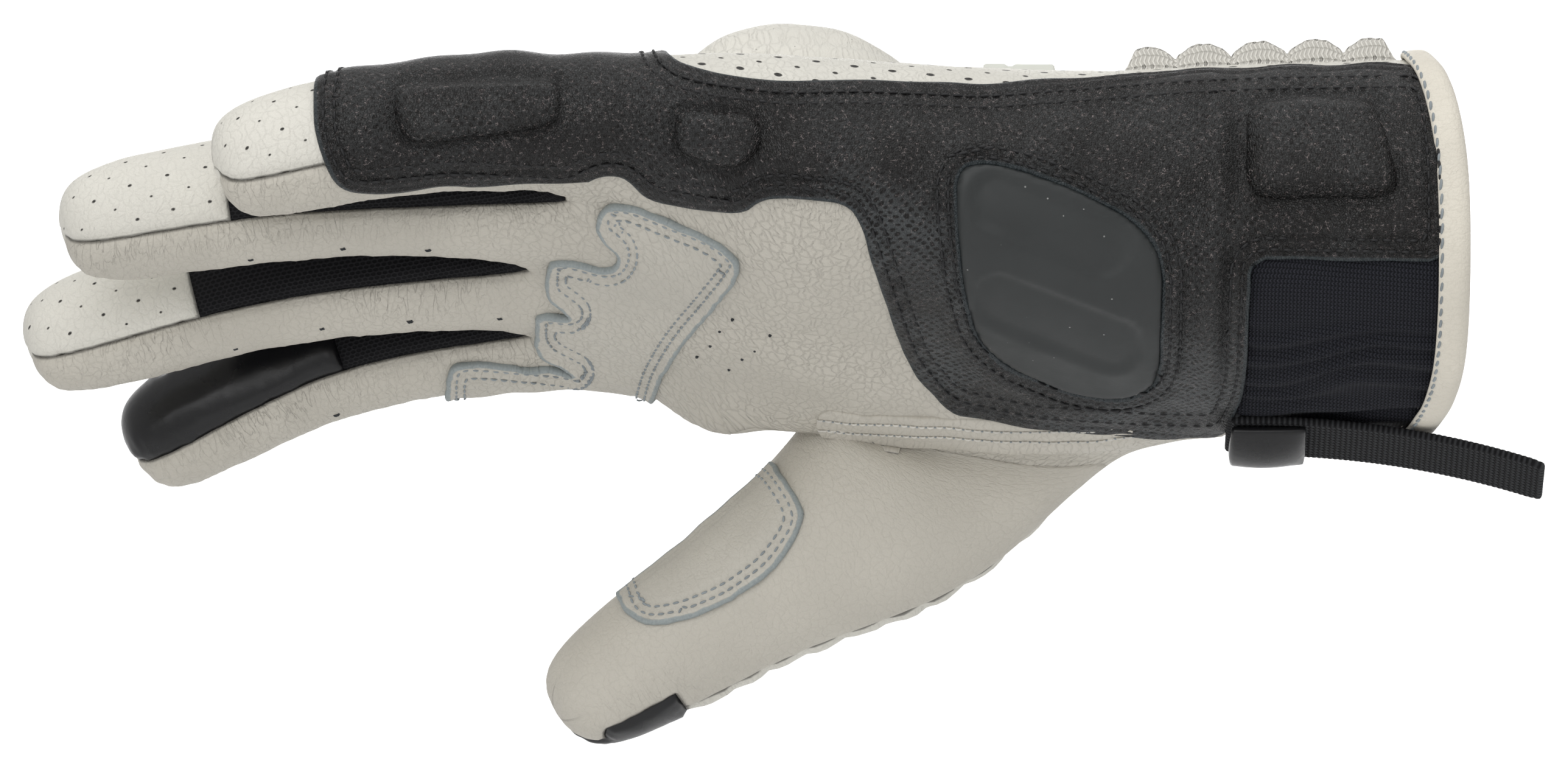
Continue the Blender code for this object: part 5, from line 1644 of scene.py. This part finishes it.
class NearSide(Maker):
    """Small things on the palm: the lapped seam towards the thumb, its stitches, holes and tacks."""

    def build(self) -> None:
        """The lapped seam, the holes and the tacks."""
        self._build_lap()
        slots = Thread(1.0 * MM, radius=0.27 * MM, lift=0.12 * MM)
        upright = np.array([0.35, 0.0, 1.0])
        # Painted shade: the palm's holes are near-black slots laid on the leather, standing for the shade
        # inside them.
        self._mark("palm_holes", PALM_HOLES, slots, (upright,))
        bars = Thread(1.3 * MM, radius=0.20 * MM, lift=0.22 * MM)
        self._mark("front_tacks", FRONT_TACKS, bars, (upright, np.array([1.0, 0.0, -0.35])))

    def _mark(self, name: str, places: Sequence[tuple[float, float]], thread: Thread,
              directions: Sequence[Array]) -> None:
        """Short dark bars at places seen from the little-finger side."""
        whole = self.hand.whole
        flat = np.array(places) * (self.sizes.reach, self.sizes.cuff_depth)
        start = np.column_stack((flat[:, 0], np.full(len(flat), -0.2), flat[:, 1]))
        points = dropped(start, np.array([0.0, 1.0, 0.0]), whole)
        gaps = np.linalg.norm(points[:, None, :] - whole.points[None, :, :], axis=2)
        normals = whole.normals[np.argmin(gaps, axis=1)]
        parts = []
        for direction in directions:
            flat_part = direction - normals * (normals @ direction)[:, None]
            parts.append(thread.placed(points, unit(flat_part), normals))
        joined(name, parts, self.finishes.hole, "white_leather")

    def _build_lap(self) -> None:
        """The palm's leather laid over the thumb piece: a proud cut edge and two rows of stitches."""
        hand, sizes = self.hand, self.sizes
        facing = hand.normals[hand.faces].mean(axis=1)[:, 1] < 0.15
        chosen = hand.zone(Region.PALM, None, range(1, 7), range(10, 18))
        sheet = hand.sheet(chosen & facing)
        inside, _ = Outline(SEAM_FREE_EDGE + SEAM_UPPER_EDGE, sizes).measure(sheet.points)
        sheet = sheet.cut(inside + 0.1 * MM * ripples(sheet.points, 5 * MM, 101))
        from_edge, place = Outline(SEAM_FREE_EDGE + ABOVE_SEAM, sizes).measure(sheet.points)
        sheet.lay = sheet.points[:, [0, 2]] * (-1.0, 1.3)
        sheet.mark(edge=from_edge + 1.5 * MM, pebbled=0.7)
        height = 1.15 * MM * (1.0 - smooth_step(from_edge, 3.2 * MM, 6.0 * MM)) - 0.05 * MM
        shaped = sheet.raised(height + 0.10 * MM * ripples(sheet.points, 7 * MM, 102))
        sunk = -0.22 * MM * (bell(from_edge, 1.8 * MM, 0.4 * MM)
                             + bell(from_edge, 3.5 * MM, 0.4 * MM))
        wall = solid(shaped, sunk, -1.2 * MM, 4, 0.4)
        make_piece("palm_seam_lap", wall, self.finishes.palm)
        rows = [near_side(shaped.line(from_edge, level, place)) for level in (1.8 * MM, 3.5 * MM)]
        sew("palm_seam_stitches", rows, Thread(1.35 * MM, 1.65 * MM, 0.20 * MM, -0.08 * MM),
            self.finishes.pale_thread, "white_leather")
        # Painted shade: short dark grey spindles between the stitches stand for the shaded needle holes.
        sew("palm_seam_holes", rows, Thread(0.45 * MM, 1.65 * MM, 0.14 * MM, -0.08 * MM, start=0.1),
            self.finishes.grey_thread, "white_leather")


def grid_sheet(points: Array, lay: Array) -> Sheet:
    """A sheet from a grid of points, with normals from its own shape."""
    rows, columns = points.shape[:2]
    number = np.arange(rows * columns).reshape(rows, columns)
    corners = (number[:-1, :-1], number[1:, :-1], number[1:, 1:], number[:-1, 1:])
    faces = np.stack(corners, axis=-1).reshape(-1, 4)
    bare = Sheet(points.reshape(-1, 3), np.zeros((rows * columns, 3)), lay.reshape(-1, 2), faces)
    return bare.raised(0.0)


class BackOfHand(Maker):
    """What lies on the back: the knuckle guard, the stretch ribs and a rubber tab."""

    def _laid(self, alongs: Array, acrosses: Array, roll: float) -> Sheet:
        """A grid of lines straight down through the back, where they meet the hand."""
        across, back = roll_frame(roll)
        start = np.zeros((*acrosses.shape, 3))
        start[..., 0] = alongs[:, None]
        start += across * acrosses[..., None] + back * 2.0 * self.sizes.palm_thickness
        points = dropped(start.reshape(-1, 3), -back, self.hand.whole).reshape(start.shape)
        lay = np.stack((np.broadcast_to(-alongs[:, None], acrosses.shape), acrosses), axis=-1)
        return grid_sheet(points, lay).facing(back)

    def build(self) -> None:
        """All three."""
        self._build_guard()
        self._build_ribs()
        self._build_tab()

    def _build_guard(self) -> None:
        """The guard: a padded dome that rises steeply from its seam to a rounded top."""
        sizes = self.sizes
        rows, columns = 110, 90
        u, v = np.linspace(-1.0, 1.0, rows), np.linspace(-1.0, 1.0, columns)
        alongs = -0.462 * sizes.reach + 0.5 * 0.205 * sizes.reach * u
        narrowing = (1.0 - 0.55 * np.abs(u) ** 3)[:, None]
        acrosses = 0.03 * sizes.palm_breadth + 0.5 * 0.52 * sizes.palm_breadth * v[None, :] * narrowing
        sheet = self._laid(alongs, acrosses, SECTIONS[2].roll)
        lean = np.where(u < -0.1, (u + 0.1) / 0.9, (u + 0.1) / 1.1)
        dome = np.cos(0.5 * np.pi * lean)[:, None] * np.clip(1.0 - (v ** 4)[None, :], 0.0, 1.0)
        rise = (14.2 * MM * np.clip(dome, 0.0, 1.0) ** 0.75).ravel()
        edge = sheet.rim_distance(30 * MM)
        sheet.mark(edge=edge, crease=0.3)
        rise += 0.9 * MM - 0.8 * MM * bell(edge, 3.2 * MM, 0.9 * MM)
        rise += 0.2 * MM * ripples(sheet.points, 10 * MM, 71)
        wall = solid(sheet, rise, 0.0, 4, 0.5)
        item = make_piece("knuckle_guard_cover", wall, self.finishes.back)
        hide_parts("knuckle_guard")

    def _build_ribs(self) -> None:
        """Stretch panel on the cuff: five rounded ribs across it with pinched lines between."""
        sizes = self.sizes
        rows, columns = 200, 90
        u = np.linspace(0.0, 1.0, rows)
        alongs = -sizes.reach * (0.232 - 0.189 * u)
        acrosses = np.broadcast_to(np.linspace(-0.300, 0.33, columns) * sizes.cuff_breadth, (rows, columns))
        sheet = self._laid(alongs, acrosses, SECTIONS[-1].roll)
        sway = 0.04 * ripples(sheet.lay, 25 * MM, 81)
        turns = 5.0 * np.repeat(u, columns) + sway
        bulge = np.abs(np.sin(np.pi * turns)) ** 0.65
        edge = sheet.rim_distance()
        sheet.mark(edge=edge)
        height = 1.5 * MM + 2.7 * MM * bulge + 0.10 * MM * ripples(sheet.lay, 2.4 * MM, 82)
        height *= smooth_step(edge, -0.5 * MM, 2.5 * MM)
        wall = solid(sheet, height, -0.2 * MM, 3, 0.4)
        item = make_piece("wrist_ribs_knit", wall, self.finishes.ribs)
        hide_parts("wrist_ribs")

    def _build_tab(self) -> None:
        """A small flat rubber tab with rounded edges and a shallow slot."""
        sizes = self.sizes
        rows, columns = 40, 30
        u, v = np.linspace(-1.0, 1.0, rows), np.linspace(-1.0, 1.0, columns)
        alongs = -0.304 * sizes.reach + 6.3 * MM * u
        acrosses = -0.20 * sizes.palm_breadth + 4.5 * MM * np.broadcast_to(v, (rows, columns))
        sheet = self._laid(alongs, acrosses, SECTIONS[4].roll)
        edge = sheet.rim_distance()
        sheet.mark(edge=edge)
        climb = np.clip(edge / (0.9 * MM), 0, 1)
        height = 0.3 * MM + 1.6 * MM * np.sqrt(np.clip(1.0 - (1.0 - climb) ** 2, 0, 1))
        ridge = np.abs(sheet.lay[:, 0] - 0.304 * sizes.reach - 1.5 * MM)
        height -= 0.35 * MM * smooth_step(ridge, 0.9 * MM, 0.4 * MM)
        wall = solid(sheet, height, 0.0, 3, 0.3)
        item = make_piece("back_tab_rubber", wall, self.finishes.rubber)
        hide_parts("back_tab")


class Cuff(Maker):
    """The bound wrist opening, the closure strap and the tab that it comes out of."""

    STRAP_LENGTH = 55 * MM
    STRAP_WIDTH = 14 * MM
    STRAP_WALL = 1.5 * MM

    def build(self) -> None:
        """Binding, strap and tab."""
        self._build_binding()
        self._build_strap()

    def _rim(self) -> tuple[Array, Array, Array]:
        """Points, normals and inland directions round the opening, evenly spaced."""
        across, back = roll_frame(SECTIONS[-1].roll)
        whole = self.hand.whole
        rim = np.unique(whole.rim())
        points, normals = whole.points[rim], whole.normals[rim]
        order = np.argsort(np.arctan2(-points @ back, -points @ across))
        points, normals = points[order], normals[order]
        closed = np.vstack((points, points[:1]))
        travel = np.concatenate([[0.0], np.cumsum(np.linalg.norm(np.diff(closed, axis=0), axis=1))])
        places = np.linspace(0.0, travel[-1], 720, endpoint=False)
        closed_normals = np.vstack((normals, normals[:1]))
        points = rows_at(closed, travel, places)
        normals = unit(rows_at(closed_normals, travel, places))
        tangents = unit(np.roll(points, -1, axis=0) - np.roll(points, 1, axis=0))
        inland = unit(np.cross(tangents, normals))
        inland *= np.sign(-inland[:, :1])
        return points, normals, inland

    def _build_binding(self) -> None:
        """Leather folded round the edge: a hooked, plump profile carried round the opening."""
        points, normals, inland = self._rim()
        width, plump, inner = 3.6 * MM, 1.75 * MM, 1.9 * MM
        angles = np.linspace(0.0, 1.0, 26)
        sweep = np.pi * np.clip((angles - 0.30) / 0.40, 0.0, 1.0)
        flat_out = np.clip((0.30 - angles) / 0.30, 0.0, 1.0)
        flat_in = np.clip((angles - 0.70) / 0.30, 0.0, 1.0)
        half = 0.5 * (plump + inner + 0.2 * MM)
        along = (width - 0.4 * MM) * (flat_out + flat_in) - 2.1 * MM * np.sin(sweep) + 0.2 * MM
        level = 0.5 * (plump - inner) + half * np.cos(sweep)
        level = level - 0.55 * MM * flat_out ** 4 + 0.55 * MM * flat_in ** 4
        count = len(points)
        path = np.cumsum(np.linalg.norm(np.roll(points, -1, axis=0) - points, axis=1))
        swell = 1.0 + 0.04 * ripples(np.stack((path, path * 0.3), 1), 12 * MM, 91)
        grid = (points[:, None, :] + inland[:, None, :] * along[None, :, None]
                + normals[:, None, :] * (level[None, :] * swell[:, None])[..., None])
        profile = np.concatenate([[0.0], np.cumsum(np.hypot(np.diff(along), np.diff(level)))])
        lay = np.stack(np.broadcast_arrays(path[:, None], profile[None, :]), axis=-1)
        number = np.arange(count * len(angles)).reshape(count, len(angles))
        after = np.roll(number, -1, axis=0)
        faces = np.stack((number[:, :-1], after[:, :-1], after[:, 1:], number[:, 1:]), axis=-1).reshape(-1, 4)
        sheet = Sheet(grid.reshape(-1, 3), np.zeros((number.size, 3)), lay.reshape(-1, 2), faces)
        sheet = sheet.raised(0.0)
        if np.mean(np.sum(sheet.normals.reshape(count, -1, 3)[:, 0] * normals, axis=1)) < 0.0:
            sheet = sheet.flipped()
        sheet.mark(edge=5 * MM, crease=0.5)
        wall = solid(sheet, 0.0, -0.9 * MM, 3, 0.5)
        item = make_piece("cuff_binding_leather", wall, self.finishes.binding)
        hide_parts("cuff_binding")
        row = points + inland * 2.9 * MM + normals * (0.88 * plump)
        closed = np.vstack((row, row[:1]))
        sew("binding_stitches", [(closed, np.vstack((normals, normals[:1])))],
            Thread(2.2 * MM, 2.5 * MM, 0.26 * MM, -0.05 * MM, 9.0),
            self.finishes.grey_thread, "binding_leather")

    def _build_strap(self) -> None:
        """Webbing with raised cross ribs that leaves the tab and curves down to a cut end."""
        low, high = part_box("closure_strap")
        side = 0.02 * self.sizes.cuff_breadth
        tilt = np.radians(23.0)
        width_axis = np.array([0.0, np.cos(tilt), -np.sin(tilt)])
        top_axis = np.array([0.0, np.sin(tilt), np.cos(tilt)])
        rows, columns = 330, 56
        share = np.linspace(0.0, 1.0, rows)
        along = low.x + (high.x - low.x) * share
        top = high.z - 0.5 * self.STRAP_WIDTH * np.sin(tilt)
        height = top - 0.14 * self.STRAP_LENGTH * share ** 2.2
        across = np.linspace(-1.0, 1.0, columns)
        corner = 1.0 - 0.08 * smooth_step(share, 0.965, 1.0)
        middle = np.stack((along, np.full(rows, side), height), axis=-1)
        offset = 0.5 * self.STRAP_WIDTH * across[None, :] * corner[:, None]
        grid = middle[:, None, :] + width_axis * offset[..., None]
        lay = np.stack(np.broadcast_arrays(share[:, None] * self.STRAP_LENGTH, offset), axis=-1)
        sheet = grid_sheet(grid, lay).facing(top_axis)
        run, wide = sheet.lay[:, 0], sheet.lay[:, 1]
        warp = np.sin(np.pi * wide / (1.15 * MM))
        ribs = np.abs(np.sin(np.pi * run / (0.95 * MM))) ** 0.7
        weave = 0.22 * MM * ribs * (0.6 + 0.4 * warp ** 2)
        thick = 0.5 * (self.STRAP_WALL - 0.4 * MM)
        core = -0.5 * self.STRAP_WALL
        wall = solid(sheet, core + thick + weave, core - thick - weave, 5, 0.8)
        self._build_root(low.x, side, top, width_axis)
        item = make_piece("strap_webbing", wall, self.finishes.webbing)
        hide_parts("closure_strap")
        self._build_tab(low.x, side, top, width_axis, top_axis)

    def _build_root(self, start: float, side: float, level: float, width_axis: Array) -> None:
        """The webbing sewn down on top of the tab, from which the free strap goes on."""
        low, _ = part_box("strap_tab")
        rows, columns = 90, 40
        along = np.linspace(low.x - 0.5 * MM, start + 0.6 * MM, rows)
        offset = 0.5 * self.STRAP_WIDTH * np.linspace(-1.0, 1.0, columns)
        middle = np.stack((along, np.full(rows, side), np.full(rows, level + 0.1 * MM)), axis=-1)
        lay = np.stack(np.broadcast_arrays(along[:, None], offset[None, :]), axis=-1)
        sheet = grid_sheet(middle[:, None, :] + width_axis * offset[None, :, None], lay)
        ribs = np.abs(np.sin(np.pi * sheet.lay[:, 0] / (0.95 * MM))) ** 0.7
        thick = 0.5 * self.STRAP_WALL + 0.15 * MM * ribs
        wall = solid(sheet, thick, -thick, 5, 0.8)
        make_piece("strap_root_webbing", wall, self.finishes.webbing)

    def _build_tab(self, start: float, side: float, level: float, width_axis: Array, top_axis: Array) -> None:
        """The rounded black tab under the strap's root."""
        low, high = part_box("strap_tab")
        rows, columns = 50, 40
        share, wide = np.linspace(0.0, 1.0, rows), np.linspace(-1.0, 1.0, columns)
        dome = np.sqrt(np.clip(1.0 - ((share - 0.42) / 0.60) ** 2, 0.0, 1.0))
        depth = 0.9 * MM + 2.8 * MM * dome[:, None] * (1.0 - 0.8 * wide[None, :] ** 2)
        middle = np.stack((low.x + (high.x - low.x) * share, np.full(rows, side),
                           np.full(rows, level - self.STRAP_WALL - 0.4 * MM)), axis=-1)
        grid = middle[:, None, :] + width_axis * (0.5 * self.STRAP_WIDTH * wide)[None, :, None]
        lay = np.stack(np.broadcast_arrays(share[:, None] * 12 * MM, wide[None, :] * 7 * MM), axis=-1)
        sheet = grid_sheet(grid, lay).facing(top_axis)
        wall = solid(sheet, 0.0, -depth.ravel(), 4, 0.5)
        item = make_piece("strap_tab_cover", wall, self.finishes.touch)
        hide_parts("strap_tab")


class Studio:
    """A white sweep, soft lights and the camera at the photograph's angle."""

    MIDDLE = (-114.2 * MM, -22.9 * MM)
    FRAME_WIDTH = 264.5 * MM
    DISTANCE = 3.0

    def __init__(self, sizes: HandSizes) -> None:
        """Keep the sizes."""
        self.sizes = sizes

    def build(self) -> None:
        """Sweep, lights and camera."""
        self._build_sweep()
        self._build_lights()
        self._build_camera()

    def _build_sweep(self) -> None:
        """A floor that curves up into a wall: a profile of a line, a quarter circle and a line."""
        turn = np.linspace(0.0, 0.5 * np.pi, 24)
        radius, floor, wall = 0.45, -0.62, 3.6
        y = np.concatenate([[-4.0], wall - radius + radius * np.sin(turn), [wall]])
        z = np.concatenate([[floor], floor + radius - radius * np.cos(turn), [4.0]])
        x = np.linspace(-3.5, 3.5, 2)
        grid = np.stack(np.broadcast_arrays(x[None, :], y[:, None], z[:, None]), axis=-1)
        sheet = grid_sheet(grid, grid[..., :2])
        material = PlainFinish("sweep_finish", (0.93, 0.93, 0.93), 0.9, 20.0, 0.0, 0.0, specular=0.0).build()
        mesh = bpy.data.meshes.new("sweep")
        mesh.from_pydata(sheet.points, [], sheet.faces)
        mesh.shade_smooth()
        mesh.materials.append(material)
        item = bpy.data.objects.new("sweep", mesh)
        bpy.context.scene.collection.objects.link(item)

    @staticmethod
    def _area_light(name: str, place: Sequence[float], target: Sequence[float], size: float,
                    power: float) -> None:
        """A square soft light that faces a point."""
        data = bpy.data.lights.new(name, "AREA")
        data.shape = "SQUARE"
        data.size = size
        data.energy = power
        item = bpy.data.objects.new(name, data)
        item.location = place
        item.rotation_euler = (Vector(target) - Vector(place)).to_track_quat("-Z", "Y").to_euler()
        bpy.context.scene.collection.objects.link(item)

    def _build_lights(self) -> None:
        """A broad key from above, a front fill and a wash on the wall."""
        middle = (self.MIDDLE[0], 0.0, self.MIDDLE[1])
        self._area_light("key", (0.0, -0.10, 1.30), middle, 1.2, 6.0)
        self._area_light("fill", (-0.6, -1.5, 0.8), middle, 1.4, 11.0)
        self._area_light("wash", (0.0, 2.90, 0.75), (0.0, 3.6, 0.45), 1.2, 24.0)
        world = bpy.data.worlds.new("studio")
        world.use_nodes = True
        world.node_tree.nodes["Background"].inputs["Color"].default_value = (1.0, 1.0, 1.0, 1.0)
        world.node_tree.nodes["Background"].inputs["Strength"].default_value = 0.60
        bpy.context.scene.world = world
        bpy.context.scene.view_settings.view_transform = "Standard"

    def _build_camera(self) -> None:
        """A long lens level with the hand, square to its edge."""
        data = bpy.data.cameras.new("camera")
        data.sensor_width = 36.0
        data.lens = data.sensor_width * self.DISTANCE / self.FRAME_WIDTH
        data.clip_end = 20.0
        item = bpy.data.objects.new("camera", data)
        item.location = (self.MIDDLE[0], -self.DISTANCE - 20 * MM, self.MIDDLE[1])
        item.rotation_euler = (np.radians(90.0), 0.0, 0.0)
        bpy.context.scene.collection.objects.link(item)
        bpy.context.scene.camera = item


def main() -> None:
    """Build the glove's looks."""
    logging.basicConfig(level=logging.INFO, format="%(name)s: %(message)s")
    sizes = HandSizes()
    hand = FineHand(HandForm(sizes))
    finishes = Finishes()
    Skins(hand, finishes).build()
    EdgePanel(hand, finishes).build()
    Patches(hand, finishes).build()
    NearSide(hand, finishes).build()
    BackOfHand(hand, finishes).build()
    Cuff(hand, finishes).build()
    Studio(sizes).build()


if __name__ == "__main__":
    main()
